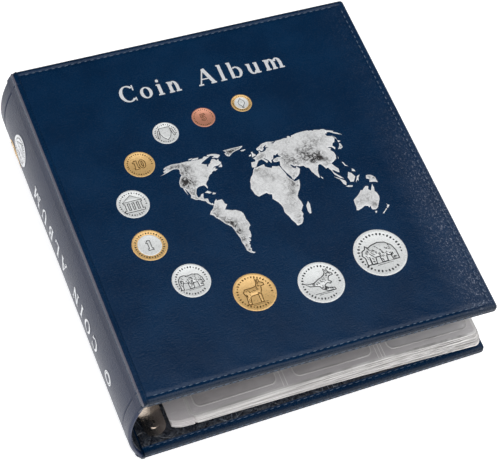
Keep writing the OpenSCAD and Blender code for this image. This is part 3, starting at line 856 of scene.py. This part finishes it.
# Mountain ranges and high ground: longitude, latitude, reach in millimetres on the cover, strength; the
# strength raises the land and sets how dark its painted hill shade is
ranges = [
    (-150, 63, 4, 0.8), (-135, 61, 4, 0.8), (-122, 54, 4.5, 0.9), (-114, 45, 4, 0.8), (-111, 38, 4.5, 1.5),
    (-107, 34, 4, 0.9), (-103, 25, 3.5, 0.8), (-99, 19, 3, 0.8), (-91, 15, 2.5, 0.7), (-79, 40, 2.5, 0.4),
    (-42, 70, 5, 1.5), (-76, 3, 3, 0.9), (-78, -4, 3, 1), (-74, -12, 3, 1), (-69, -17, 3.5, 1.3),
    (-69, -25, 3, 1.5),
    (-70, -33, 3, 1), (-72, -42, 2.5, 0.9), (-72, -49, 2.5, 0.8), (-45, -18, 4, 0.4), (-4, 32, 3, 0.6),
    (6, 24, 5, 0.35), (18, 20, 4, 0.35), (39, 9, 4, 0.9), (35, 0, 3, 0.7), (30, -8, 4, 0.5),
    (28, -29, 3, 0.7),
    (20, -12, 4, 0.3), (45, 17, 3, 0.5), (10, 46, 2.5, 0.8), (33, 39, 3, 0.7), (45, 40, 3, 0.9),
    (55, 32, 5, 0.8),
    (68, 35, 3.5, 0.7), (78, 34, 3.5, 1.2), (88, 31.5, 3.3, 1.9), (96, 31.5, 3.0, 1.8), (76, 42, 3.5, 0.8),
    (90, 46, 4, 0.9),
    (103, 50, 4, 0.6), (118, 54, 4, 0.4), (135, 62, 4, 0.3), (60, 60, 3, 0.3), (100, 66, 5, 0.3),
    (102, 24, 3.5, 0.7), (12, 62, 3, 0.6), (147, -34, 3, 0.6), (133, -24, 5, 0.4), (122, -25, 5, 0.35),
    (140, -5, 3, 0.9), (138, 36, 2, 0.8)
]
range_spots = [(*on_map(lon, lat), reach, share) for lon, lat, reach, share in ranges]


def land_height(p, d):
    share = 0.14
    for cu, cv, reach, amount in range_spots:
        q = ((p[0] - cu) ** 2 + (p[1] - cv) ** 2) / (reach * reach)
        if q < 6:
            share = max(share, amount * math.exp(-0.7 * q))
    rough = noise.noise(Vector((p[0] * 0.75, p[1] * 0.75, 3.1))) * 0.6
    rough += noise.noise(Vector((p[0] * 1.6, p[1] * 1.6, 7.7))) * 0.4
    near = min(1.0, d / 0.9)
    # The second value, kept in the relief attribute, sets how dark the painted hill shade is.
    return 0.34 * share * rough * near, share * near


land = Shells()
for points in [north_america, greenland, south_america, africa, eurasia, australia] + islands:
    outline = [on_map(lon, lat) for lon, lat in points]
    relief(land, outline, lambda u, v, h: front(u, v, half_t + h), -0.04, 0.06, 0.17, 0.4, 0.85,
           height=land_height)
land.piece("world_map", [map_silver], "front_cover", ("map_foil",), sharp=60,
           attribute="relief")


# Letters are made of bars and crescents. x runs to the right, a capital is 1 high.
bold = 1.3


def bar(x0, y0, x1, y1, w0, w1=None):
    w1 = w0 if w1 is None else w1
    d = Vector((x1 - x0, y1 - y0)).normalized()
    nx, ny = -d.y, d.x
    return [(x0 + nx * w0 / 2, y0 + ny * w0 / 2), (x0 - nx * w0 / 2, y0 - ny * w0 / 2),
            (x1 - nx * w1 / 2, y1 - ny * w1 / 2), (x1 + nx * w1 / 2, y1 + ny * w1 / 2)]


def crescent(cx, cy, rx, ry, thick, thin, a0, a1, steps=22):
    """Part of an oval ring from a0 to a1 in degrees, thick at its sides and thin at top and bottom."""
    thick = min(thick * bold, 0.97 * rx)
    thin = min(thin * bold, 0.97 * ry)
    outer, inner = [], []
    for i in range(steps + 1):
        a = math.radians(a0 + (a1 - a0) * i / steps)
        outer.append((cx + rx * math.cos(a), cy + ry * math.sin(a)))
        inner.append((cx + (rx - thick) * math.cos(a), cy + (ry - thin) * math.sin(a)))
    return outer + inner[::-1]


def foot(x, y, w=0.32, t=0.06):
    return bar(x - w / 2, y + t / 2, x + w / 2, y + t / 2, t * bold)


def stem(x, h, w=0.135):
    return bar(x, 0, x, h, w * bold)


def line(x0, y0, x1, y1, w):
    return bar(x0, y0, x1, y1, w * bold)


def oval(cx, cy, rx, ry, thick, thin):
    return [crescent(cx, cy, rx, ry, thick, thin, a0, a0 + 180) for a0 in (0, 180)]


def arch(cx):
    """The bow of an n or an m."""
    return crescent(cx, 0.43, 0.21, 0.26, 0.12, 0.06, -5, 165)


def flag(x0, x1):
    """The short stroke at the top left of a small letter's stem."""
    return line(x0, 0.655, x1, 0.655, 0.05)


# Each letter's width and its strokes
glyphs = {
    "C": (0.86, [crescent(0.47, 0.5, 0.45, 0.52, 0.14, 0.055, 42, 318), line(0.80, 0.66, 0.80, 1.0, 0.05),
                 line(0.80, 0.0, 0.80, 0.22, 0.04)]),
    "o": (0.72, oval(0.35, 0.34, 0.32, 0.36, 0.13, 0.05)),
    "i": (0.38, [stem(0.18, 0.68), foot(0.18, 0), flag(0.04, 0.18),
                 crescent(0.18, 0.90, 0.085, 0.085, 0.084, 0.084, 0, 359)]),
    "n": (0.76, [stem(0.17, 0.68), foot(0.17, 0, 0.28), flag(0.03, 0.17),
                 arch(0.37), line(0.52, 0, 0.52, 0.44, 0.13), foot(0.54, 0, 0.28)]),
    "A": (0.98,
          [line(0.10, 0.03, 0.46, 1.0, 0.055), line(0.46, 1.0, 0.82, 0.03, 0.15),
           line(0.24, 0.36, 0.68, 0.36, 0.05),
                 foot(0.11, 0, 0.26), foot(0.80, 0, 0.30)]),
    "l": (0.38, [stem(0.18, 1.03), foot(0.18, 0), line(0.04, 1.005, 0.18, 1.005, 0.05)]),
    "b": (0.76, [stem(0.15, 1.03), line(0.02, 1.005, 0.15, 1.005, 0.05),
                 crescent(0.40, 0.34, 0.31, 0.36, 0.13, 0.05, -125, 125)]),
    "u": (0.78, [line(0.17, 0.24, 0.17, 0.68, 0.13), flag(0.04, 0.17),
                 crescent(0.34, 0.24, 0.235, 0.26, 0.12, 0.06, 178, 345), stem(0.57, 0.68),
                 flag(0.45, 0.57), foot(0.62, 0, 0.2)]),
    "m": (1.14, [stem(0.17, 0.68), foot(0.17, 0, 0.28), flag(0.03, 0.17),
                 arch(0.37), line(0.52, 0, 0.52, 0.44, 0.13), foot(0.53, 0, 0.26),
                 arch(0.74), line(0.89, 0, 0.89, 0.44, 0.13), foot(0.91, 0, 0.28)]),
    "O": (0.98, oval(0.48, 0.5, 0.46, 0.52, 0.14, 0.055)),
    "I": (0.44, [stem(0.2, 1.0), foot(0.2, 0), foot(0.2, 0.945)]),
    "N": (0.98,
          [line(0.16, 0, 0.16, 1, 0.06), line(0.16, 0.96, 0.80, 0.06, 0.15), line(0.80, 0, 0.80, 1, 0.06),
                 foot(0.16, 0, 0.26), foot(0.12, 0.945, 0.24), foot(0.80, 0.945, 0.26)]),
    "L": (0.78,
          [stem(0.18, 1.0), foot(0.18, 0.945), line(0.18, 0.03, 0.70, 0.03, 0.06),
           line(0.70, 0, 0.70, 0.24, 0.05)]),
    "B": (0.80, [stem(0.18, 1.0), crescent(0.36, 0.755, 0.26, 0.245, 0.12, 0.05, -90, 90),
                 crescent(0.38, 0.265, 0.31, 0.265, 0.13, 0.05, -90, 90),
                 line(0.06, 0.975, 0.38, 0.975, 0.05),
                 line(0.06, 0.025, 0.38, 0.025, 0.05), line(0.18, 0.515, 0.38, 0.515, 0.05)]),
    "U": (0.94,
          [line(0.19, 0.34, 0.19, 1, 0.14), line(0.76, 0.34, 0.76, 1, 0.06), foot(0.19, 0.945),
           foot(0.76, 0.945, 0.24),
                 crescent(0.455, 0.34, 0.335, 0.36, 0.12, 0.06, 180, 360)]),
    "M": (1.16,
          [line(0.16, 0, 0.16, 1, 0.06), line(0.16, 1.0, 0.56, 0.06, 0.14),
           line(0.56, 0.06, 0.94, 1.0, 0.05),
                 line(0.96, 0, 0.96, 1, 0.14), foot(0.16, 0, 0.26), foot(0.96, 0), foot(0.12, 0.945, 0.2),
                 foot(0.99, 0.945, 0.24)]),
    "1": (0.5,
          [line(0.25, 0, 0.25, 1, 0.16), line(0.05, 0.78, 0.22, 0.96, 0.08), foot(0.25, 0, 0.42, 0.08)]),
    "0": (0.7, oval(0.33, 0.5, 0.3, 0.5, 0.13, 0.08)),
    "5": (0.66, [line(0.12, 0.95, 0.56, 0.95, 0.11), line(0.13, 0.5, 0.13, 1.0, 0.11),
                 crescent(0.29, 0.31, 0.29, 0.31, 0.13, 0.09, -150, 120)]),
    " ": (0.5, [])
}


def written(text, size, gap):
    """Outlines of a line of letters from x = 0, in millimetres, and its length."""
    outlines = []
    x = 0.0
    for letter in text:
        advance, strokes = glyphs[letter]
        for stroke in strokes:
            outlines.append([(x + px * size, py * size) for px, py in stroke])
        x += advance * size + gap
    return outlines, x - gap


def print_outlines(shells, outlines, to_world, rim, top, soft=0.25, step=5.0, look=0):
    for k, outline in enumerate(outlines):
        lift = 0.006 * (k % 5)
        relief(shells, outline, to_world, -0.04, rim + lift, top + lift, soft, step, look)


title_middle, title_base = 105.5, 190.5
title_size, title_gap = 11.5, 2.2
title = Shells()
outlines, length = written("Coin Album", title_size, title_gap)
title_u = title_middle - length / 2
print_outlines(title, outlines, lambda x, y, h: front(title_u + x, title_base + y, half_t + h), 0.14, 0.18)
title.piece("title_letters", [letter_silver], "front_cover", ("title_foil",), sharp=40)

# ---------------------------------------------------------------- coins
kangaroo = [
    (-0.72, 0.10), (-0.50, 0.02), (-0.30, 0.02), (-0.10, 0.14), (0.08, 0.20), (0.24, 0.30), (0.32, 0.42),
    (0.30, 0.58), (0.37, 0.44), (0.42, 0.56), (0.43, 0.40), (0.56, 0.32), (0.58, 0.26), (0.42, 0.24),
    (0.34, 0.14), (0.30, 0.02), (0.40, -0.08), (0.36, -0.12), (0.24, -0.06), (0.12, -0.12), (0.05, -0.22),
    (0.20, -0.34), (0.44, -0.40), (0.46, -0.46), (0.14, -0.44), (-0.06, -0.30), (-0.12, -0.16),
    (-0.30, -0.10),
    (-0.52, -0.06)
]
bear = [
    (-0.62, -0.38), (-0.60, -0.10), (-0.68, 0.04), (-0.62, 0.20), (-0.50, 0.26), (-0.46, 0.36),
    (-0.38, 0.28),
    (-0.22, 0.36), (0.05, 0.42), (0.30, 0.36), (0.50, 0.18), (0.58, -0.06), (0.58, -0.38), (0.40, -0.38),
    (0.36, -0.16), (0.16, -0.14), (0.14, -0.38), (-0.04, -0.38), (-0.06, -0.12), (-0.26, -0.12),
    (-0.30, -0.38),
    (-0.44, -0.38), (-0.44, -0.08), (-0.48, -0.06), (-0.50, -0.38)
]
elephant = [
    (-0.62, -0.42), (-0.66, -0.1), (-0.62, 0.18), (-0.48, 0.34), (-0.30, 0.36), (-0.12, 0.28), (0.16, 0.34),
    (0.42, 0.26), (0.56, 0.04), (0.60, -0.2), (0.55, -0.2), (0.50, -0.02), (0.50, -0.42), (0.32, -0.42),
    (0.30, -0.12), (0.02, -0.12), (0.0, -0.42), (-0.18, -0.42), (-0.20, -0.08), (-0.34, -0.04),
    (-0.46, -0.02),
    (-0.54, -0.18), (-0.56, -0.42)
]
antelope = [
    (-0.46, -0.55), (-0.42, -0.15), (-0.50, 0.08), (-0.40, 0.22), (-0.10, 0.22), (0.14, 0.26), (0.24, 0.44),
    (0.22, 0.70), (0.30, 0.52), (0.36, 0.70), (0.36, 0.46), (0.52, 0.36), (0.52, 0.28), (0.36, 0.26),
    (0.32, 0.06), (0.24, -0.10), (0.22, -0.55), (0.14, -0.55), (0.14, -0.12), (-0.18, -0.14),
    (-0.30, -0.20),
    (-0.36, -0.55)
]
temple = [
    [(-0.56, 0.24), (0.56, 0.24), (0.0, 0.62)], bar(-0.55, 0.16, 0.55, 0.16, 0.08),
    bar(-0.6, -0.46, 0.6, -0.46, 0.1),
    bar(-0.42, -0.4, -0.42, 0.12, 0.12), bar(-0.14, -0.4, -0.14, 0.12, 0.12),
    bar(0.14, -0.4, 0.14, 0.12, 0.12),
    bar(0.42, -0.4, 0.42, 0.12, 0.12)
]
leaf = [
    [(0, -0.5), (0.30, -0.16), (0.34, 0.16), (0.0, 0.62), (-0.34, 0.16), (-0.30, -0.16)],
    bar(0, -0.68, 0, -0.4, 0.07)
]
shield = [
    [(-0.4, 0.5), (0.4, 0.5), (0.42, 0.0), (0.24, -0.38), (0.0, -0.6), (-0.24, -0.38), (-0.42, 0.0)],
    bar(-0.62, -0.3, -0.5, 0.3, 0.09), bar(0.62, -0.3, 0.5, 0.3, 0.09)
]


def number(text, size):
    outlines, length = written(text, size, 0.06)
    return [[(x - length / 2, y - size / 2) for x, y in o] for o in outlines]


def disc(shells, to_world, cu, cv, profile, look, sides=48):
    """A turned disc: profile is (radius, height) from the middle out and down to the underside."""
    verts = [to_world(cu, cv, profile[0][1])]
    for r, h in profile[1:]:
        verts += [to_world(cu + r * math.cos(2 * math.pi * i / sides),
                           cv + r * math.sin(2 * math.pi * i / sides), h)
                  for i in range(sides)]
    faces = [(0, 1 + i, 1 + (i + 1) % sides) for i in range(sides)]
    faces += [tuple(1 + i for i in f) for f in loop_faces(len(profile) - 1, sides)]
    last = 1 + (len(profile) - 2) * sides
    faces.append(tuple(last + i for i in reversed(range(sides))))
    shells.add(verts, faces, look)


def grown(outline, by):
    """An outline moved outwards by a distance."""
    n = len(outline)
    following = [outline[(i + 1) % n] for i in range(n)]
    area = sum(x * next_y - next_x * y for (x, y), (next_x, next_y) in zip(outline, following))
    sign = 1 if area > 0 else -1
    result = []
    for i in range(n):
        a, b, c = (Vector(outline[k % n]) for k in (i - 1, i, i + 1))
        d0 = (b - a).normalized()
        d1 = (c - b).normalized()
        n0 = Vector((d0.y, -d0.x)) * sign
        n1 = Vector((d1.y, -d1.x)) * sign
        out = n0 + n1
        out = out.normalized() * min(1.6, 1 / max(out.length / 2, 0.45)) if out.length > 1e-3 else n0
        result.append(tuple(b + out * by))
    return result


def strokes(outline, seed):
    """Short strokes inside a picture, most of them low down, and two lines of ground below it."""
    draw = random.Random(seed)
    low, high = min(y for x, y in outline), max(y for x, y in outline)
    bars = [bar(-0.46, low - 0.045, 0.44, low - 0.035, 0.03, 0.02),
            bar(-0.30, low - 0.11, 0.33, low - 0.10, 0.025, 0.015)]
    for _ in range(260):
        x = draw.uniform(-0.6, 0.6)
        y = draw.uniform(low, high)
        reach = draw.uniform(0.03, 0.06)
        a = draw.uniform(-1.3, -0.6)
        dx, dy = reach * math.cos(a), reach * math.sin(a)
        shade = (high - y) / (high - low)
        head, foot_end = (x + dx, y + dy), (x - 1.2 * dx, y - 1.2 * dy)
        if draw.random() < shade and is_inside(head, outline) and is_inside(foot_end, outline):
            bars.append(bar(x - dx, y - dy, x + dx, y + dy, 0.030, 0.012))
    return bars


def coin(shells, to_world, cu, cv, r, motif, look, core_look=None, ink=None, share=0.62):
    """One printed coin in low relief, with a raised rim, a ring of beads and a plain picture of its own."""
    disc(shells, to_world, cu, cv,
         [(0, 0.10), (0.88 * r, 0.10), (0.905 * r, 0.19), (0.965 * r, 0.20), (r, 0.13),
                                    (r, -0.04)], look)
    if core_look is not None:
        disc(shells, to_world, cu, cv, [(0, 0.15), (0.60 * r, 0.15), (0.63 * r, 0.20), (0.66 * r, 0.20),
                                        (0.68 * r, 0.11), (0.68 * r, 0.05)], core_look)
    beads = int(2 * math.pi * 0.8 * r / (0.105 * r + 0.45))
    for k in range(beads):
        a = 2 * math.pi * k / beads
        if core_look is None and abs(math.sin(a / 2 + 0.3)) < 0.16:
            continue
        reach = 0.80 * r
        size = 0.042 * r + 0.08
        long = size * (1.5 if k % 3 else 0.8)
        verts = []
        for q in range(6):
            b = 2 * math.pi * q / 6
            du, dv = long * math.cos(b), size * math.sin(b)
            verts.append(to_world(cu + (reach + du) * math.cos(a) - dv * math.sin(a),
                                  cv + (reach + du) * math.sin(a) + dv * math.cos(a), 0.08))
        verts.append(to_world(cu + reach * math.cos(a), cv + reach * math.sin(a), 0.21))
        shells.add(verts, [(q, (q + 1) % 6, 6) for q in range(6)] + [tuple(reversed(range(6)))], ink)
    inner = share * r if core_look is None else 0.5 * r
    base = 0.08 if core_look is None else 0.13
    for k, outline in enumerate(motif):
        points = [(cu + x * inner / 0.62, cv + y * inner / 0.62) for x, y in outline]
        small = min(1.0, r / 10)
        line = 0.035 * r + 0.10
        corners = [Vector(q) for q in grown(points, line)]
        under = base + 0.028 + 0.003 * k
        m = len(corners)
        solid = delaunay_2d_cdt(corners, [(q, (q + 1) % m) for q in range(m)], [list(range(m))], 1, 1e-5)
        flat = [to_world(q.x, q.y, h) for h in (under, under - 0.02) for q in solid[0]]
        under_side = [tuple(len(solid[0]) + q for q in reversed(t)) for t in solid[2]]
        shells.add(flat, [tuple(t) for t in solid[2]] + under_side, ink)
        relief(shells, points, lambda u, v, h: to_world(u, v, base + h), -0.02, 0.06 + 0.004 * k,
               0.22 * small + 0.05, 0.05 * r,
               max(0.6, r / 14), look if core_look is None else core_look)
    if len(motif) == 1 and core_look is None:
        for b, mark in enumerate(strokes(motif[0], int(cu))):
            top = base + (0.03 if b < 2 else 0.30 * small + 0.05)
            spots = [(cu + x * inner / 0.62, cv + y * inner / 0.62) for x, y in mark]
            shells.add([to_world(u, v, h) for h in (base - 0.02, top) for u, v in spots],
                       [(3, 2, 1, 0),
                        (4, 5, 6, 7)] + [(q, (q + 1) % 4, 4 + (q + 1) % 4, 4 + q) for q in range(4)], ink)


def on_front(u, v, h):
    return front(u, v, half_t + h)


silver_coins = Shells()
for cu, cv, r, motif in ((70.9, 163.8, 7.6, shield), (36.4, 122.3, 9.4, temple),
                         (50.4, 65.4, 10.9, [elephant]),
                         (119.4, 43.6, 13.3, [kangaroo]), (159.2, 52.4, 15.5, [bear])):
    coin(silver_coins, on_front, cu, cv, r, motif, 0, ink=2)
for cu, cv, r, motif in ((121.1, 172.2, 6.2, leaf), (36.1, 93.7, 10.1, number("1", 0.72))):
    coin(silver_coins, on_front, cu, cv, r, motif, 1, core_look=0, ink=2)
silver_coins.piece("silver_coins_print", [silver, gold, grey_ink], "front_cover", ("silver_coins",),
                   sharp=32)

gold_coins = Shells()
coin(gold_coins, on_front, 49.1, 147.1, 8.8, number("10", 0.62), 0, ink=1)
coin(gold_coins, on_front, 81.4, 48.3, 12.2, [antelope], 0, ink=1)
gold_coins.piece("gold_coins_print", [gold, brown_ink], "front_cover", ("gold_coins",),
                 sharp=32)

copper_coin = Shells()
coin(copper_coin, on_front, 95.9, 168.5, 6.9, number("5", 0.66), 0, ink=1)
copper_coin.piece("copper_coin_print", [copper, brown_ink], "front_cover", ("copper_coin",),
                  sharp=32)


# ---------------------------------------------------------------- spine print
def on_spine(x, y, h):
    """A place on the spine's outside: x runs from the head to the tail and y up towards the front cover."""
    a = y / arc_r
    r = arc_r + 0.06 + h
    return case(arc_x - r * math.cos(a), cover_h - x, arc_z + r * math.sin(a))


spine_print = Shells()
outlines, length = written("COIN ALBUM", 9.2, 3.8)
print_outlines(spine_print, outlines, lambda x, y, h: on_spine(121 + length / 2 - x, 10.5 - y, h), 0.14,
               0.18)
coin(spine_print, on_spine, 38, 8.0, 9.6, temple, 0, ink=2)
coin(spine_print, on_spine, 27, -10.0, 9.0, leaf, 1, ink=2)
for r in (4.6, 3.4):
    for a0 in (0, 180):
        print_outlines(spine_print, [crescent(195, 6, r, r, 0.55, 0.55, a0, a0 + 180)], on_spine, 0.14,
                       0.18)
spine_print.piece("spine_letters", [letter_silver, gold, grey_ink], "spine", ("spine_foil",),
                  sharp=40)

# ---------------------------------------------------------------- pocket sheets
ring_ys = (37.5, 82.5, 147.5, 192.5)
sheet_tail, sheet_head = 2.5, 224.5
hole_u, hole_r = 7.7, 3.2
sheet_w = 191.0
strip_w = 14
strip_t = 0.42
ring_r = 12
hole_shift = 0.5
first_level, level_step = 20.2, 1.1
first_tilt, tilt_step = 4.05, 0.29
weld_places = (68.2, 70.4, 125.6, 127.8, 129.6, 12.6)
columns = ((17.0, 66.5), (76.0, 124.0), (133.0, 183.5))
row_gap = 4.0
row_h = (sheet_head - sheet_tail - 9.0 - 3 * row_gap) / 4


def strip_with_holes(thick):
    """The punched strip: a ring of faces round every hole, with plain quads between them."""
    half = thick / 2
    u_mid, u_half = hole_u, 6.6
    n = 24
    verts, faces = [], []

    def corner_square(k):
        side, t = divmod(k, 6)
        t = t / 6 * 2 - 1
        return [(1, t), (-t, 1), (-1, -t), (t, -1)][side]

    rims = []
    for h in (half, -half):
        for y in ring_ys:
            start = len(verts)
            for k in range(n):
                a = 2 * math.pi * k / n - math.pi / 4
                verts.append((u_mid + hole_r * math.cos(a), y + hole_r * math.sin(a), h))
            for k in range(n):
                sx, sy = corner_square(k)
                verts.append((u_mid + u_half * sx, y + u_half * sy, h))
            for k in range(n):
                j = (k + 1) % n
                faces.append((start + k, start + j, start + n + j, start + n + k))
            rims.append(start)
    for k in range(4):
        top, low = rims[k], rims[4 + k]
        for i in range(n):
            j = (i + 1) % n
            faces.append((top + j, top + i, low + i, low + j))
    for level in (0, 4):
        tail_row = len(verts)
        h = half if level == 0 else -half
        for s in range(7):
            x = u_mid + u_half * (1 - 2 * s / 6)
            verts.append((x, sheet_tail + (2.2 * (s / 6) ** 4), h))
        head_row = len(verts)
        for s in range(7):
            x = u_mid + u_half * (1 - 2 * s / 6)
            verts.append((x, sheet_head - (2.2 * (s / 6) ** 4), h))
        links = [[tail_row + s for s in range(7)]]
        for k in range(4):
            start = rims[level + k] + n
            low_side = [start + (0 - s) % n for s in range(7)]
            high_side = [start + 6 + s for s in range(7)]
            links.append(low_side)
            links.append(high_side)
        links.append([head_row + s for s in range(7)])
        for a, b in ((0, 1), (2, 3), (4, 5), (6, 7), (8, 9)):
            for s in range(6):
                faces.append((links[a][s], links[a][s + 1], links[b][s + 1], links[b][s]))
        if level == 0:
            upper = links
        else:
            lower = links
    edge_start = len(faces)
    for row in (0, 9):
        for s in range(6):
            faces.append((upper[row][s], upper[row][s + 1], lower[row][s + 1], lower[row][s]))
    for side in (0, 6):
        for a, b in zip(range(0, 9), range(1, 10)):
            if a % 2 == 0:
                faces.append((upper[a][side], upper[b][side], lower[b][side], lower[a][side]))
        for k in range(4):
            ut, lt = rims[k] + n, rims[4 + k] + n
            span = range(18, 24) if side == 6 else range(0, 6)
            span = range(12, 18) if side == 6 else span
            for i in span:
                j = (i + 1) % n
                faces.append((ut + i, ut + j, lt + j, lt + i))
    return verts, faces, edge_start


def sheet_piece(i):
    level = first_level + level_step * i
    tilt = math.radians(first_tilt - tilt_step * i)
    rings = joints["page_%d_turn" % (i + 1)]["pos_m"]
    rise = level - rings[2] * 1000
    hole_x = (rings[0] - back_hinge.x) * 1000 + math.sqrt(ring_r ** 2 - rise * rise) + hole_shift
    sway = 0.25 * math.sin(i * 2.1)
    short = 0.45 * i + 0.4 * abs(math.sin(i * 1.7))

    def place(u, v, h):
        s = clamp((u - strip_w) / (sheet_w - strip_w))
        bow = 2.0 * math.sin(math.pi * s) ** 1.2 + 0.12 * math.sin(v * 0.045 + i) * math.sin(math.pi * s)
        w = u - hole_u
        k = h + bow
        return case(hole_x + w * math.cos(tilt) + k * math.sin(tilt), v + sway,
                    level - w * math.sin(tilt) + k * math.cos(tilt))

    def thickness(u):
        s = clamp((u - strip_w - 1) / (sheet_w - strip_w - 1))
        return 0.8 + 0.55 * s

    shells = Shells()
    verts, faces, edge = strip_with_holes(strip_t)
    shells.add([place(*p) for p in verts], faces, [0] * edge + [1] * (len(faces) - edge))
    half = 0.5
    profile = [(1.6, half), (0.45, half), (0.12, half - 0.04), (0.0, half - 0.2), (0.12, 0.08), (0.3, 0.0),
               (0.12, -0.08),
               (0.0, 0.2 - half), (0.12, 0.04 - half), (0.45, -half), (1.6, -half)]
    verts, faces, edge = plate((13.2, sheet_w - short, sheet_tail, sheet_head), 4.0, profile, 30)
    shells.add([place(u, v, h * thickness(u)) for u, v, h in verts], faces,
               [1] * edge + [0] * (len(faces) - edge))
    for c, (u0, u1) in enumerate(columns):
        for r in range(4):
            v0 = sheet_tail + 4.5 + r * (row_h + row_gap)
            swell = 0.10 * math.sin(3.1 * i + 1.7 * c + 2.3 * r)
            lip = [(3.2, 0.22 + swell), (1.7, 0.16), (0.9, 0.10), (0.6, 0.2), (0.3, 0.2), (0.0, 0.02),
                   (0.0, -0.06)]
            verts, faces, edge = plate((u0, u1, v0, v0 + row_h), 4.2, lip, 12)
            shells.add([place(u, v, thickness(u) / 2 + h) for u, v, h in verts], faces,
                       [1 if k < 5 * (edge // 6) and k >= 2 * (edge // 6) else 2 for k in range(edge)]
                       + [2] * (len(faces) - edge))
    for u in weld_places:
        verts, faces, edge = plate((u, u + 0.5, sheet_tail + 1.5, sheet_head - 1.5), 0.2,
                                   [(0.1, 0.12), (0.0, 0.04), (0.0, -0.05)], 2)
        shells.add([place(a, v, (thickness(a) if u > strip_w else strip_t) / 2 + h) for a, v, h in verts],
                   faces, 1)
    name = "sheet_%d" % (i + 1)
    shells.piece("pocket_" + name, [film_face, film_edge, film_pad], "page_%d" % (i + 1), (name,),
                 sharp=50)


for i in range(8):
    sheet_piece(i)

# ---------------------------------------------------------------- parts carried over from the CAD
carried = {
    "ring_plate": nickel, "plate_rivets": nickel, "right_blade": nickel, "left_blade": nickel,
    "right_half_rings": nickel, "left_half_rings": nickel, "back_liner": liner, "front_liner": liner
}
for name, look in carried.items():
    node = frame["nodes"][name]
    node.data.materials.clear()
    node.data.materials.append(look.mat)

# ---------------------------------------------------------------- floor, light and camera, in metres
floor_z = -0.0004
floor_mesh = bpy.data.meshes.new("floor")
floor_mesh.from_pydata([(6 * x, 6 * y, floor_z) for x, y in ((-1, -1), (1, -1), (1, 1), (-1, 1))], [],
                       [(0, 1, 2, 3)])
floor = bpy.data.objects.new("floor", floor_mesh)
bpy.context.scene.collection.objects.link(floor)
paper = Look("floor_paper", (0.86, 0.86, 0.86), 0.9, specular=0.1)
paper.put("Emission Color", (1, 1, 1, 1))
paper.put("Emission Strength", 0.70)
floor_mesh.materials.append(paper.mat)


def softbox(name, at, towards, size_x, size_y, watts):
    lamp = bpy.data.lights.new(name, "AREA")
    lamp.shape = "RECTANGLE"
    lamp.size = size_x
    lamp.size_y = size_y
    lamp.energy = watts
    obj = bpy.data.objects.new(name, lamp)
    bpy.context.scene.collection.objects.link(obj)
    obj.location = at
    obj.rotation_euler = (Vector(towards) - Vector(at)).to_track_quat("-Z", "Y").to_euler()
    return obj


softbox("overhead", (0.3, -0.58, 1.8), (0.3, -0.58, 0), 3.0, 2.4, 40)
softbox("left_fill", (-1.9, -0.4, 1.0), (0, 0, 0.03), 1.4, 1.2, 6)
softbox("front_fill", (0.2, -1.9, 0.5), (0, 0, 0.03), 1.6, 0.8, 10)

world = bpy.data.worlds.new("studio")
world.use_nodes = True
world.node_tree.nodes["Background"].inputs["Color"].default_value = (1, 1, 1, 1)
world.node_tree.nodes["Background"].inputs["Strength"].default_value = 0.06
bpy.context.scene.world = world
bpy.context.scene.view_settings.view_transform = "Standard"

camera_data = bpy.data.cameras.new("camera")
camera_data.lens = 149.5
camera_data.sensor_width = 36
camera_data.clip_end = 20
camera = bpy.data.objects.new("camera", camera_data)
bpy.context.scene.collection.objects.link(camera)
camera.location = (-0.29156, -0.58947, 1.03824)
camera.rotation_euler = [math.radians(turn) for turn in (32.5381, -3.7446, -21.0453)]
bpy.context.scene.camera = camera
